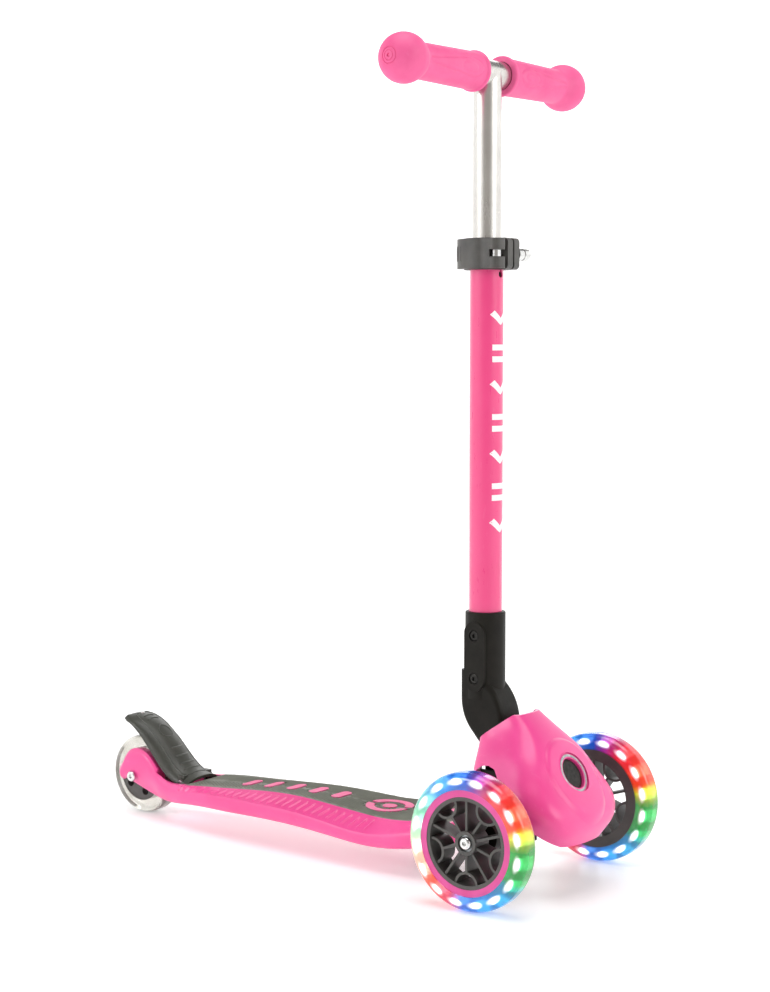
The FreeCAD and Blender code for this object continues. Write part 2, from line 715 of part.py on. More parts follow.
def front_cover():
    shell = cover_solid().cut(cover_solid(cover_wall))
    # Raised seat for the button ring, and screw posts at the two rear legs
    seat_depth = 12.0
    seat = rod(button_ring_radius + 1.5, button_centre - button_out * seat_depth, button_centre)
    foot = vec(cover_screw_x, cover_screw_y, 48.5)
    legs = both_sides(rod(4.0, foot, foot + vec(0, 0, 17.5)))
    shell = fuse([shell, seat] + legs)
    reach = button_out * 30
    shell = shell.cut(rod(button_radius + body_gap, button_centre - reach, button_centre + reach))
    ring_low = button_centre - button_out * 1.6
    ring_inner = button_ring_radius - button_ring_wall
    shell = shell.cut(tube(button_ring_radius, ring_inner, ring_low, button_centre + button_out * 9))
    # Sloping rim at the top, the slot for the stem and the wheel arches
    rim = side_plate([(-60, 121.6), (-48, 130.4), (-14.7, 154.7), (-14.7, 190), (-60, 190)], -90, 90)
    top = side_plate([(-15, 154.7), (40, 154.7), (40, 190), (-15, 190)], -90, 90)
    slot = box(-70, -19, -slot_half_width, slot_half_width, 20, 190)
    arch = side_plate([(-41.5, 20), (-41.5, 100), (-38.5, 106.5), (-32, 111), (-24.5, 112), (-17, 110), (-10, 102),
                       (-4, 94.4), (10, 80), (26, 64), (44, 47), (70, 46), (70, 20)], -90, 90)
    floor = box(-70, 80, -90, 90, 20, 48.5)
    shell = shell.cut(group([rim, top])).cut(slot).cut(arch).cut(floor.common(box(-70, -41, -90, 90, 0, 60)))
    for side in (1, -1):
        spot = vec(cover_screw_x, side * cover_screw_y, 48)
        shell = shell.cut(rod(screw_radius, spot, spot + vec(0, 0, 14)))
    solids = sorted(shell.Solids, key=lambda s: s.Volume)
    save("front_cover", solids[-1])
    screws = []
    for side in (1, -1):
        head = vec(cover_screw_x, side * cover_screw_y, 40.5)
        screws.append(socket_bolt(3.8, 2.5, screw_radius, head, head + vec(0, 0, 20.5), 1.6))
    save("cover_screws", group(screws))
    save("button_ring", tube(button_ring_radius, ring_inner, ring_low, button_centre + button_out * 0.5))


# ---------------------------------------------------------------- release button and hook

def release_button():
    top = button_centre - button_out * 1.8
    disc = rod(button_radius, button_centre - button_out * 9.0, top)
    disc = soften(disc, 1.6, lambda e: (e.CenterOfMass - top).Length < 0.1)
    stem = rod(5.0, button_centre - button_out * 23.6, button_centre - button_out * 8.0)
    tip = rod(3.0, button_centre - button_out * 27.0, button_centre - button_out * 23.0)
    save("release_button", fuse([disc, stem, tip]))


def coil(radius, wire, turns, start, end):
    """Round-wire compression spring between two points, made of half turns that each climb half a pitch."""
    climb = ((end - start).Length - wire) / turns / 2
    slope = degrees(atan2(climb, 2 * radius))
    halves = []
    for i in range(2 * turns):
        half = Part.makeTorus(sqrt(radius ** 2 + climb ** 2 / 4), wire / 2, vec(0, 0, 0), along_z, 0, 360, 180)
        half.rotate(vec(0, 0, 0), along_z, 180 * (i % 2))
        half.rotate(vec(0, 0, 0), along_y, slope if i % 2 == 0 else -slope)
        half.translate(vec(0, 0, wire / 2 + climb * (i + 0.5)))
        halves.append(half)
    spring = fuse(halves)
    turned = FreeCAD.Placement(start, FreeCAD.Rotation(along_z, end - start))
    spring.Placement = turned.multiply(spring.Placement)
    return spring


def button_spring():
    spring = coil(8.0, 1.2, 5, button_centre - button_out * 21.0, button_centre - button_out * 9.3)
    save("button_spring", spring)
    button_up = vec(-button_out.z, 0, button_out.x)
    back = button_centre - button_out * 23.2
    corners = [back + button_up * u + vec(0, w, 0) for u, w in
               ((-9, -cheek_inner), (9, -cheek_inner), (9, cheek_inner), (-9, cheek_inner))]
    plate = Part.Face(polygon(corners)).extrude(button_out * 2.0)
    hole = rod(5.0 + body_gap, button_centre - button_out * 26, button_centre - button_out * 18)
    save("spring_seat", plate.cut(hole))


def latch_hook():
    outline = [(4.5, 98.0), (8.5, 86.5), (12.5, 86.5), (14.0, 89.4), (9.4, 96.0), (11.6, 99.5), (11.6, 106.0),
               (9.0, 114.0), (5.0, 121.0), (0.5, 122.0), (-1.6, 114.6), (1.6, 112.5), (3.5, 105.0)]
    hook = side_plate(outline, -8, 8)
    bore = rod(hook_pin_radius + running_fit, hook_centre - vec(0, 20, 0), hook_centre + vec(0, 20, 0))
    hook = hook.cut(bore)
    save("latch_hook", hook)


# ---------------------------------------------------------------- stem: knuckle, post and clamp

knuckle_screw_heights = (183.0, 222.0)
post_bottom = sleeve_bottom + 7.0


def knuckle():
    boss_r = knuckle_boss_radius
    rear_turn = radians(220.6)
    front_turn = radians(45.6)
    rear_touch = (fold_x + boss_r * cos(rear_turn), fold_z + boss_r * sin(rear_turn))
    front_touch = (fold_x + boss_r * cos(front_turn), fold_z + boss_r * sin(front_turn))
    back = stem_x - sleeve_radius + 1.2
    points = [
        vec(back, 0, sleeve_bottom + 25),
        vec(back, 0, sleeve_bottom),
        vec(-72.0, 0, 149.0),
        vec(-62.0, 0, 133.0),
        vec(rear_touch[0], 0, rear_touch[1]),
        vec(fold_x + 3, 0, fold_z - sqrt(boss_r * boss_r - 9)),
        vec(front_touch[0], 0, front_touch[1]),
        vec(-28.6, 0, 148.0),
        vec(-33.5, 0, 164.0),
        vec(-44.0, 0, 178.0),
        vec(-46.0, 0, sleeve_bottom + 25),
    ]
    outline = [
        Part.makeLine(points[0], points[1]),
        Part.Arc(points[1], points[2], points[3]).toShape(),
        Part.makeLine(points[3], points[4]),
        Part.Arc(points[4], points[5], points[6]).toShape(),
        Part.makeLine(points[6], points[7]),
        Part.Arc(points[7], points[8], points[9]).toShape(),
        Part.makeLine(points[9], points[10]),
        Part.makeLine(points[10], points[0]),
    ]
    face = Part.Face(Part.Wire(outline))
    face.translate(vec(0, -knuckle_half_width, 0))
    plate = face.extrude(vec(0, 2 * knuckle_half_width, 0))
    rounded = soften(plate, 5.0, lambda e: abs(abs(e.CenterOfMass.y) - knuckle_half_width) < 0.1
                     and e.CenterOfMass.z < sleeve_bottom + 24 and e.CenterOfMass.z > 95)
    sleeve = rod(sleeve_radius, vec(stem_x, 0, sleeve_bottom - 1), vec(stem_x, 0, sleeve_top))
    sleeve = soften(sleeve, 1.6, lambda e: abs(e.CenterOfMass.z - sleeve_top) < 0.1 and e.BoundBox.XLength > 20)
    pad = fuse([box(stem_x - 10.5, stem_x + 10.5, -sleeve_radius - 0.7, 0, 182, 224),
                rod(10.5, vec(stem_x, -sleeve_radius - 0.7, 224), vec(stem_x, 0, 224)),
                rod(10.5, vec(stem_x, -sleeve_radius - 0.7, 182), vec(stem_x, 0, 182))])
    body = fuse([rounded, sleeve, pad])
    body = body.cut(rod(post_radius, vec(stem_x, 0, post_bottom), vec(stem_x, 0, sleeve_top + 5)))
    reach = vec(0, 40, 0)
    body = body.cut(rod(fold_pin_radius + running_fit, fold_centre - reach, fold_centre + reach))
    notch = box(fold_x + boss_r - 4.5, fold_x + boss_r + 4, -9, 9, fold_z + 2, fold_z + 10)
    body = body.cut(notch)
    for z in knuckle_screw_heights:
        head = vec(stem_x, -sleeve_radius - 0.7, z)
        body = body.cut(rod(5.0, head, head + vec(0, 2.6, 0)))
        body = body.cut(rod(2.5, head, vec(stem_x, 0, z)))
    save("stem_knuckle", body)
    screws = []
    for z in knuckle_screw_heights:
        head = vec(stem_x, -sleeve_radius - 0.3, z)
        screws.append(socket_bolt(4.9, 2.2, 2.5, head, vec(stem_x, -post_radius + post_wall - 1.5, z), 2.0))
    save("knuckle_screws", group(screws))


def post():
    body = tube(post_radius, post_radius - post_wall, vec(stem_x, 0, post_bottom), vec(stem_x, 0, post_top))
    relief_z = clamp_bottom - 4.0
    body = body.cut(box(stem_x, stem_x + 20, -1.2, 1.2, relief_z, post_top + 1))
    body = body.cut(rod(3.0, vec(stem_x, 0, relief_z), vec(stem_x + 20, 0, relief_z)))
    for z in knuckle_screw_heights:
        body = body.cut(rod(2.5, vec(stem_x, -20, z), vec(stem_x, 0, z)))
    save("post_tube", body)
    bush_inner = riser_radius + slide_fit
    bush_foot = vec(stem_x, 0, clamp_bottom - 24)
    bush = tube(post_radius - post_wall, bush_inner, bush_foot, vec(stem_x, 0, post_top))
    bush = bush.cut(box(stem_x, stem_x + 20, -1.2, 1.2, relief_z, post_top + 1))
    bush = bush.fuse(tube(post_radius, bush_inner, vec(stem_x, 0, post_top), vec(stem_x, 0, post_top + 1.5)))
    save("post_bush", bush.cut(box(stem_x, stem_x + 20, -1.2, 1.2, relief_z, post_top + 3)))


def clamp():
    centre = vec(stem_x, 0, clamp_bottom)
    collar = rod(clamp_radius, centre, vec(stem_x, 0, clamp_top))
    ear_far = stem_x + clamp_bolt_offset + 7.0
    ears = box(stem_x, ear_far, -9.4, 9.4, clamp_bottom, clamp_top)
    ears = soften(ears, 4.0, lambda e: abs(e.BoundBox.YLength - 18.8) < 0.1 and e.CenterOfMass.x > stem_x + 5)
    collar = fuse([collar, ears])
    collar = collar.cut(rod(post_radius, centre, vec(stem_x, 0, post_top + 1.5)))
    collar = collar.cut(rod(riser_radius + 0.5, centre, vec(stem_x, 0, clamp_top + 1)))
    collar = collar.cut(box(stem_x, ear_far + 1, -1.2, 1.2, clamp_bottom - 1, clamp_top + 1))
    bolt_x = stem_x + clamp_bolt_offset
    mid = (clamp_bottom + clamp_top) / 2
    collar = collar.cut(rod(clamp_bolt_radius, vec(bolt_x, -12, mid), vec(bolt_x, 12, mid)))
    collar = collar.cut(rod(clamp_nut_seat, vec(bolt_x, 9.4, mid), vec(bolt_x, 30, mid)))
    collar = collar.cut(rod(lever_head_radius + body_gap, vec(bolt_x, lever_pin_y, clamp_bottom - 1),
                            vec(bolt_x, lever_pin_y, clamp_top + 1)))
    save("clamp_collar", collar)
    eye = rod(4.6, vec(bolt_x, lever_pin_y, mid - 2.8), vec(bolt_x, lever_pin_y, mid + 2.8))
    bolt = fuse([eye, rod(clamp_bolt_radius, vec(bolt_x, lever_pin_y, mid), vec(bolt_x, 30, mid))])
    bolt = bolt.cut(rod(2.9, vec(bolt_x, lever_pin_y, mid - 5), vec(bolt_x, lever_pin_y, mid + 5)))
    save("clamp_bolt", bolt)
    pin = rod(2.9, vec(bolt_x, lever_pin_y, mid - 11), vec(bolt_x, lever_pin_y, mid + 11))
    save("lever_pin", pin)
    save("clamp_washer", tube(7.0, clamp_bolt_radius, vec(bolt_x, 9.4, mid), vec(bolt_x, 11.2, mid)))
    nut = rod(6.0, vec(bolt_x, 11.2, mid), vec(bolt_x, 32.0, mid))
    nut = soften(nut, 2.4, lambda e: abs(e.CenterOfMass.y - 32.0) < 0.1)
    nut = nut.cut(tube(7.0, 5.5, vec(bolt_x, 20.0, mid), vec(bolt_x, 22.0, mid)))
    save("clamp_nut", nut.cut(rod(clamp_bolt_radius, vec(bolt_x, 5, mid), vec(bolt_x, 30, mid))))


def lever():
    bolt_x = stem_x + clamp_bolt_offset
    mid = (clamp_bottom + clamp_top) / 2
    low = mid - 13.2
    high = mid + 13.2
    inner = clamp_radius + 0.9
    outer = inner + 5.2
    band = tube(outer, inner, vec(stem_x, 0, low), vec(stem_x, 0, high))
    wedge = Part.Face(polygon([vec(stem_x, 0, low), vec(stem_x + 50, -51, low), vec(stem_x, -80, low),
                               vec(stem_x - 60, -31, low)])).extrude(vec(0, 0, high - low))
    grip = band.common(wedge)
    head = rod(lever_head_radius, vec(bolt_x, lever_pin_y, low), vec(bolt_x, lever_pin_y, high))
    bridge = Part.Face(polygon([vec(bolt_x, lever_pin_y - lever_head_radius + 0.2, low),
                                vec(bolt_x - 8, lever_pin_y - lever_head_radius + 1.5, low),
                                vec(stem_x + 9, -inner - 3.5, low), vec(stem_x + 12, -inner + 1.5, low),
                                vec(bolt_x - 5, lever_pin_y + 2.5, low)])).extrude(vec(0, 0, high - low))
    body = fuse([grip, bridge]).cut(rod(clamp_radius + 0.6, vec(stem_x, 0, low - 1), vec(stem_x, 0, high + 1)))
    body = fuse([body, head])
    window_corners = [(-4.2, 20), (-4.2, -1), (1, -20), (22, -20), (22, 20)]
    window = Part.Face(polygon([vec(bolt_x + x, lever_pin_y + y, mid - 3.2) for x, y in window_corners]))
    body = body.cut(window.extrude(vec(0, 0, 6.4)))
    body = body.cut(rod(5.0, vec(bolt_x, lever_pin_y, mid - 3.2), vec(bolt_x, lever_pin_y, mid + 3.2)))
    pin_foot = vec(bolt_x, lever_pin_y, low - 1)
    body = body.cut(rod(2.9 + running_fit, pin_foot, vec(bolt_x, lever_pin_y, high + 1)))
    solids = sorted(body.Solids, key=lambda s: s.Volume)
    save("clamp_lever", solids[-1])


# ---------------------------------------------------------------- riser and handlebar

def handlebar():
    riser_bottom = post_top - height_travel - 60.0
    top = vec(stem_x, 0, handlebar_height)
    riser = tube(riser_radius, riser_radius - riser_wall, vec(stem_x, 0, riser_bottom), top)
    cross_start = vec(stem_x, -cross_half, handlebar_height)
    cross_end = vec(stem_x, cross_half, handlebar_height)
    cross = tube(cross_tube_radius, cross_tube_radius - 1.5, cross_start, cross_end)
    save("riser_tube", riser.cut(rod(cross_tube_radius, cross_start, cross_end)))
    save("cross_tube", cross)
    foot_outer = post_radius - post_wall - slide_fit
    end = vec(stem_x, 0, riser_bottom)
    plug = tube(riser_radius - riser_wall, 8.0, end - vec(0, 0, 1), end + vec(0, 0, 18))
    save("riser_foot", fuse([tube(foot_outer, 8.0, end - vec(0, 0, 6), end), plug]))
    for name, side in (("left", 1), ("right", -1)):
        save("grip_" + name, grip(side))


def grip(side):
    centre = vec(stem_x, 0, handlebar_height)
    way = vec(0, side, 0)
    start = centre + way * grip_start
    body = Part.makeCone(grip_radius, grip_neck_radius, handlebar_half_length - grip_start, start, way)
    flange = rod(grip_flange_radius, start, start + way * 4.5)
    rim = 2 * grip_flange_radius - 0.5
    flange = soften(flange, 1.8, lambda e: e.BoundBox.XLength > rim and len(e.Vertexes) == 1)
    ball = Part.makeSphere(grip_ball_radius, centre + way * handlebar_half_length)
    return fuse([body, flange, ball]).cut(rod(cross_tube_radius, centre, centre + way * cross_half))


# ---------------------------------------------------------------- rear brake

# Middle line of the brake's top: x, z, half-width, drop of the sides
brake_line = [
    (-494.0, 100.8, 17.0, 3.6),
    (-485.0, 101.8, 20.5, 6.5),
    (-471.0, 98.5, 21.5, 10.0),
    (-458.0, 91.5, 22.0, 12.5),
    (-446.0, 82.0, 22.5, 14.0),
    (-435.0, 71.5, 22.8, 14.8),
    (-424.5, 61.0, 23.2, 14.8),
    (-413.0, 52.5, 23.6, 13.0),
    (-399.0, 47.5, 24.0, 9.5),
]
brake_line = [(brake_x(x), rear_z(x, z, 2.0), half, drop) for x, z, half, drop in brake_line]


def brake_direction(i):
    before = brake_line[max(i - 1, 0)]
    after = brake_line[min(i + 1, len(brake_line) - 1)]
    way = vec(after[0] - before[0], 0, after[1] - before[1]).normalize()
    return vec(-way.z, 0, way.x)


def brake_section(i):
    x, z, half, drop = brake_line[i]
    crown = vec(x, 0, z)
    normal = brake_direction(i)
    outer = []
    inner = []
    count = 8
    for k in range(count + 1):
        turn = radians(-90 + 180.0 * k / count)
        outer.append(crown + vec(0, half * sin(turn), 0) - normal * drop * (1 - cos(turn)))
        inner.append(crown + vec(0, (half - brake_wall) * sin(turn), 0)
                     - normal * (brake_wall + (drop - brake_wall) * (1 - cos(turn))))
    edges = [curve(outer), Part.makeLine(outer[-1], inner[-1]), curve(list(reversed(inner))),
             Part.makeLine(inner[0], outer[0])]
    return Part.Wire(edges)


def rear_brake():
    shell = Part.makeLoft([brake_section(i) for i in range(len(brake_line))], True, False)
    # Blunt rolled edge at the free end
    lip_radius = 4.2
    lip_centre = vec(brake_line[0][0] + 3.5, 0, brake_line[0][1] - 3.8)
    lip_half = vec(0, brake_line[0][2] - lip_radius, 0)
    lip = [rod(lip_radius, lip_centre - lip_half, lip_centre + lip_half)]
    lip += [Part.makeSphere(lip_radius, lip_centre + lip_half * side) for side in (1, -1)]
    pivot = vec(brake_pivot_x, 0, brake_pivot_z)
    ears = []
    for side in (1, -1):
        ears.append(rod(4.6, pivot + vec(0, side * 14, 0), pivot + vec(0, side * 22.5, 0)))
        inner, outer = sorted([side * 14, side * 21])
        ears.append(box(pivot.x - 4.0, pivot.x + 4.0, inner, outer, pivot.z, pivot.z + 7))
    # Shoe that rubs on the tyre, carried on two short posts under the shell
    shoe_inner = rear_wheel_radius + shoe_gap
    wedge = Part.Face(polygon([rear_axle, rear_axle + vec(70, 0, 55), rear_axle + vec(40, 0, 90),
                               rear_axle + vec(8, 0, 90)]))
    wedge.translate(vec(0, -9, 0))
    wedge = wedge.extrude(vec(0, 18, 0))
    shoe_half = vec(0, 9, 0)
    post_half = vec(0, 3, 0)
    plate = tube(shoe_inner + 2.0, shoe_inner, rear_axle - shoe_half, rear_axle + shoe_half).common(wedge)
    arc = tube(shoe_inner + 14.0, shoe_inner + 2.0, rear_axle - post_half, rear_axle + post_half)
    posts = []
    for angle, reach in ((50.0, 7.5), (74.0, 11.0)):
        post_box = box(shoe_inner, shoe_inner + reach, -4, 4, -2.5, 2.5)
        post_box.rotate(origin, along_y, -angle)
        post_box.translate(rear_axle)
        posts.append(arc.common(post_box))
    rib = fuse(posts)
    body = fuse([shell] + lip + ears)
    rib = rib.cut(body)
    body = fuse([body, rib])
    body = body.cut(rod(brake_pin_radius + running_fit, pivot - vec(0, 30, 0), pivot + vec(0, 30, 0)))
    body = body.cut(box(brake_pivot_x - 28, brake_pivot_x + 32, -30, 30, 0, 37.6))
    rivet_spot = vec(brake_line[1][0] - 0.5, 0, brake_line[1][1])
    body = body.cut(rod(1.5, rivet_spot - vec(0, 0, 12), rivet_spot + vec(0, 0, 3)))
    solids = sorted(body.Solids, key=lambda s: s.Volume)
    save("rear_brake", solids[-1])
    save("brake_shoe", plate)
    rivet = fuse([rod(1.5, rivet_spot - vec(0, 0, 4.2), rivet_spot + vec(0, 0, 0.3)),
                  rod(3.4, rivet_spot - vec(0, 0, 0.2), rivet_spot + vec(0, 0, 1.2))])
    save("brake_rivet", rivet.cut(solids[-1]))
    save("brake_pin", rod(brake_pin_radius, pivot - vec(0, 22.5, 0), pivot + vec(0, 22.5, 0)))
    spring = coil(3.3, 0.9, 4, pivot + vec(0, 8.4, 0), pivot + vec(0, 13.6, 0))
    save("brake_spring", spring)


for name, side in (("left", 1), ("right", -1)):
    front_wheel(name, side)
    front_axle(name, side)
rear_wheel()
build_deck()
chassis_screws()
front_chassis()
truck()
king_bolt()
steering_blocks()
front_cover()
release_button()
button_spring()
latch_hook()
knuckle()
post()
clamp()
lever()
handlebar()
rear_brake()
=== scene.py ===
import json
from math import atan2, cos, exp, pi, radians, sin, sqrt, tan

import bpy
from mathutils import Matrix, Vector

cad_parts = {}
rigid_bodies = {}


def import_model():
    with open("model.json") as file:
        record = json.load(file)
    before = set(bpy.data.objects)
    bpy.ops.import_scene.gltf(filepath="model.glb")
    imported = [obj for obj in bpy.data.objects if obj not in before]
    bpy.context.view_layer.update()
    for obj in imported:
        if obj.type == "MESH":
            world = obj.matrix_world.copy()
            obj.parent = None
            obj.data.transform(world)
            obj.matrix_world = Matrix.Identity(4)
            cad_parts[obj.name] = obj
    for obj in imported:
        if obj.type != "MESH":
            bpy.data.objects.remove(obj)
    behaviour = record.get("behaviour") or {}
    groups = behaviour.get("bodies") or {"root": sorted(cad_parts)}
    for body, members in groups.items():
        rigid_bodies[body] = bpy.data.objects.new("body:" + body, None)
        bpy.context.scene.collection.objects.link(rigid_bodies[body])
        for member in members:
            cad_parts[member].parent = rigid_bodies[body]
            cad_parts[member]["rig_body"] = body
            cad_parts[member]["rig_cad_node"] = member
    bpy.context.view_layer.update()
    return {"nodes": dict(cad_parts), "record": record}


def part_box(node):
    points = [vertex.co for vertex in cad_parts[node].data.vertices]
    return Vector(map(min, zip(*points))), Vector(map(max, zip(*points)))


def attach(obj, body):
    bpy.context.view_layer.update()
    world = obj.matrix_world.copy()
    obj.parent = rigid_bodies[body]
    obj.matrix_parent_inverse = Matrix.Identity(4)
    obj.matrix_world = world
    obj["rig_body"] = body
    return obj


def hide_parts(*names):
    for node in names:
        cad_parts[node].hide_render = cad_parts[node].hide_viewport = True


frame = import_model()
nodes = frame["nodes"]
slotOf = {part["node"]: part["material_slot"] for part in frame["record"]["subparts"]}
print("frame loaded:", len(nodes), "nodes")


# small tools

def dropSelection():
    if bpy.context.object and bpy.context.object.mode != "OBJECT":
        bpy.ops.object.mode_set(mode="OBJECT")
    bpy.ops.object.select_all(action="DESELECT")


def pick(piece):
    dropSelection()
    piece.select_set(True)
    bpy.context.view_layer.objects.active = piece


def applyModifier(piece, kind, **settings):
    pick(piece)
    modifier = piece.modifiers.new(kind.lower(), kind)
    for key, value in settings.items():
        setattr(modifier, key, value)
    bpy.ops.object.modifier_apply(modifier=modifier.name)


def settle(piece, smoothAngle=40, recalculate=True):
    # place, turn and scale go into the mesh, and the faces look outwards
    pick(piece)
    bpy.ops.object.transform_apply(location=True, rotation=True, scale=True)
    if recalculate:
        bpy.ops.object.mode_set(mode="EDIT")
        bpy.ops.mesh.select_all(action="SELECT")
        bpy.ops.mesh.normals_make_consistent(inside=False)
        bpy.ops.object.mode_set(mode="OBJECT")
    bpy.ops.object.shade_smooth_by_angle(angle=radians(smoothAngle))


def joinPieces(parts, name):
    pick(parts[0])
    for part in parts[1:]:
        part.select_set(True)
    if len(parts) > 1:
        bpy.ops.object.join()
    parts[0].name = name
    parts[0].data.name = name
    return parts[0]


def linear(hexText):
    channels = [int(hexText[i:i + 2], 16) / 255 for i in (1, 3, 5)]
    return [c / 12.92 if c <= 0.04045 else ((c + 0.055) / 1.055) ** 2.4 for c in channels] + [1.0]


def addNode(tree, kind, settings=None, values=None, links=None):
    node = tree.nodes.new(kind)
    for key, value in (settings or {}).items():
        setattr(node, key, value)
    for key, value in (values or {}).items():
        node.inputs[key].default_value = value
    for key, source in (links or {}).items():
        tree.links.new(source, node.inputs[key])
    return node


def setRamp(node, stops):
    ramp = node.color_ramp
    while len(ramp.elements) < len(stops):
        ramp.elements.new(0.5)
    for element, (place, colour) in zip(ramp.elements, stops):
        element.position = place
        element.color = linear(colour)


# finishes

def startFinish(name, look):
    material = bpy.data.materials.new(name)
    material.use_nodes = True
    tree = material.node_tree
    shader = tree.nodes["Principled BSDF"]
    shader.inputs["Metallic"].default_value = look.get("metallic", 0.0)
    if "ior" in look:
        shader.inputs["IOR"].default_value = look["ior"]
    shader.inputs["Specular IOR Level"].default_value = look.get("specular", 0.5)
    shader.inputs["Coat Weight"].default_value = look.get("coat", 0.0)
    shader.inputs["Coat Roughness"].default_value = look.get("coatRoughness", 0.1)
    place = addNode(tree, "ShaderNodeTexCoord").outputs["Object"]
    return material, tree, shader, place


def layFinish(name, look):
    # slow changes of shade, a fine grain from the mould or grit, and patches where handling has polished it
    material, tree, shader, place = startFinish(name, look)
    shade = addNode(tree, "ShaderNodeTexNoise",
                    values={"Scale": 1 / look["shadeSize"], "Detail": 4.0, "Roughness": 0.6},
                    links={"Vector": place})
    tint = addNode(tree, "ShaderNodeValToRGB", links={"Fac": shade.outputs["Fac"]})
    setRamp(tint, [(0.32, look["dark"]), (0.68, look["light"])])
    stretch = addNode(tree, "ShaderNodeMapping", values={"Scale": look.get("grainStretch", (1, 1, 1))},
                      links={"Vector": place})
    grain = addNode(tree, "ShaderNodeTexNoise", values={"Scale": 1 / look["grainSize"], "Detail": 2.0},
                    links={"Vector": stretch.outputs["Vector"]})
    scuffMap = addNode(tree, "ShaderNodeMapping", values={"Scale": look.get("scuffStretch", (1, 6, 3)),
                                                         "Rotation": (0.2, 0.1, 0.5)}, links={"Vector": place})
    scuff = addNode(tree, "ShaderNodeTexNoise", values={"Scale": 1 / look.get("scuffSize", 0.012), "Detail": 6.0,
                                                       "Roughness": 0.7},
                                                       links={"Vector": scuffMap.outputs["Vector"]})
    scuffCut = addNode(tree, "ShaderNodeMapRange",
                       values={"From Min": 0.60, "From Max": 0.74, "To Max": look.get("scuff", 0.08)},
                       links={"Value": scuff.outputs["Fac"]})
    worn = addNode(tree, "ShaderNodeMixRGB", values={"Color2": linear(look.get("worn", look["light"]))},
                   links={"Fac": scuffCut.outputs["Result"], "Color1": tint.outputs["Color"]})
    tree.links.new(worn.outputs["Color"], shader.inputs["Base Color"])
    low, high = look["roughness"]
    gloss = addNode(tree, "ShaderNodeMapRange",
                    values={"From Min": 0.3, "From Max": 0.7, "To Min": low, "To Max": high},
                    links={"Value": scuff.outputs["Fac"]})
    tree.links.new(gloss.outputs["Result"], shader.inputs["Roughness"])
    bump = addNode(tree, "ShaderNodeBump",
                   values={"Strength": look.get("grainStrength", 0.5), "Distance": look["grainDepth"]},
                   links={"Height": grain.outputs["Fac"]})
    tree.links.new(bump.outputs["Normal"], shader.inputs["Normal"])
    return material


# polypropylene moulded in an eroded tool: satin, evenly coloured, with shallow scuffs where shoes brush it
mouldedPolypropylene = layFinish("mouldedPinkPolypropylene", {
    "dark": "#EE4290", "light": "#F6509C", "worn": "#F78DBB", "scuff": 0.25, "ior": 1.49,
    "roughness": (0.30, 0.42), "shadeSize": 0.07, "grainSize": 0.0011, "grainDepth": 0.00005, "grainStrength": 0.35,
    "coat": 0.35, "coatRoughness": 0.3})

# polyester powder baked on steel: smooth with a slow orange peel about 2 mm across, and a soft gloss over it
powderCoatedSteel = layFinish("powderCoatedPinkSteel", {
    "dark": "#EB3A7E", "light": "#F04486", "worn": "#F58BB2", "scuff": 0.12, "ior": 1.5,
    "roughness": (0.26, 0.36), "shadeSize": 0.12, "grainSize": 0.0022, "grainDepth": 0.00004, "grainStrength": 0.4,
    "coat": 0.8, "coatRoughness": 0.22, "scuffStretch": (3, 3, 0.6)})

# thermoplastic rubber moulded over the bar: matt and slightly chalky, darker where hands have cleaned it
mouldedRubber = layFinish("mouldedPinkRubber", {
    "dark": "#EA5590", "light": "#F1659C", "worn": "#F591B8", "scuff": 0.2, "ior": 1.5,
    "roughness": (0.46, 0.60), "shadeSize": 0.03, "grainSize": 0.0009, "grainDepth": 0.00006, "grainStrength": 0.5})

# urethane cast as a ring round the hub: glossy, with a skin that is smooth to the touch
castUrethane = layFinish("castPinkUrethane", {
    "dark": "#D8458F", "light": "#E254A0", "ior": 1.5, "roughness": (0.28, 0.4), "shadeSize": 0.02,
    "grainSize": 0.0016, "grainDepth": 0.00003})

# filled rubber pressed in a ribbed mould: matt grey green with dust held in the grooves
pressedRubber = layFinish("pressedGreyRubber", {
    "dark": "#66685D", "light": "#76786C", "worn": "#95978B", "scuff": 0.35, "ior": 1.52,
    "roughness": (0.50, 0.66), "shadeSize": 0.03, "grainSize": 0.0008, "grainDepth": 0.00008, "grainStrength": 0.6})

# the same rubber in the polished tool of the brake: darker and with a low sheen
pressedBrakeRubber = layFinish("pressedBrakeRubber", {
    "dark": "#33342D", "light": "#3E3F37", "worn": "#62645A", "scuff": 0.3, "ior": 1.52,
    "roughness": (0.36, 0.50), "shadeSize": 0.03, "grainSize": 0.0009, "grainDepth": 0.00005, "grainStrength": 0.5})

# glass-filled nylon: warm black with a dry sheen and a slightly rough skin where the fibres lie
glassFilledNylon = layFinish("glassFilledBlackNylon", {
    "dark": "#171511", "light": "#1F1D18", "worn": "#3E3A32", "scuff": 0.15, "ior": 1.53,
    "roughness": (0.36, 0.50), "shadeSize": 0.02, "grainSize": 0.0012, "grainDepth": 0.00008, "grainStrength": 0.5,
    "specular": 0.14})

# grey nylon as it comes from a textured tool
greyNylon = layFinish("mouldedGreyNylon", {
    "dark": "#434240", "light": "#514F4B", "worn": "#77746E", "scuff": 0.18, "ior": 1.53,
    "roughness": (0.38, 0.50), "shadeSize": 0.02, "grainSize": 0.0011, "grainDepth": 0.00007, "grainStrength": 0.5})

# aluminium drawn, brushed along its length and anodised clear: pale, with fine lines that spread the highlights
anodisedAluminium = layFinish("satinAnodisedAluminium", {
    "dark": "#CFCCC7", "light": "#DFDDD9", "metallic": 1.0, "roughness": (0.25, 0.29), "shadeSize": 0.05,
    "grainSize": 0.0016, "grainDepth": 0.000006, "grainStretch": (4, 4, 0.05), "grainStrength": 0.3, "scuff": 0.03,
    "scuffStretch": (1, 1, 0.1)})

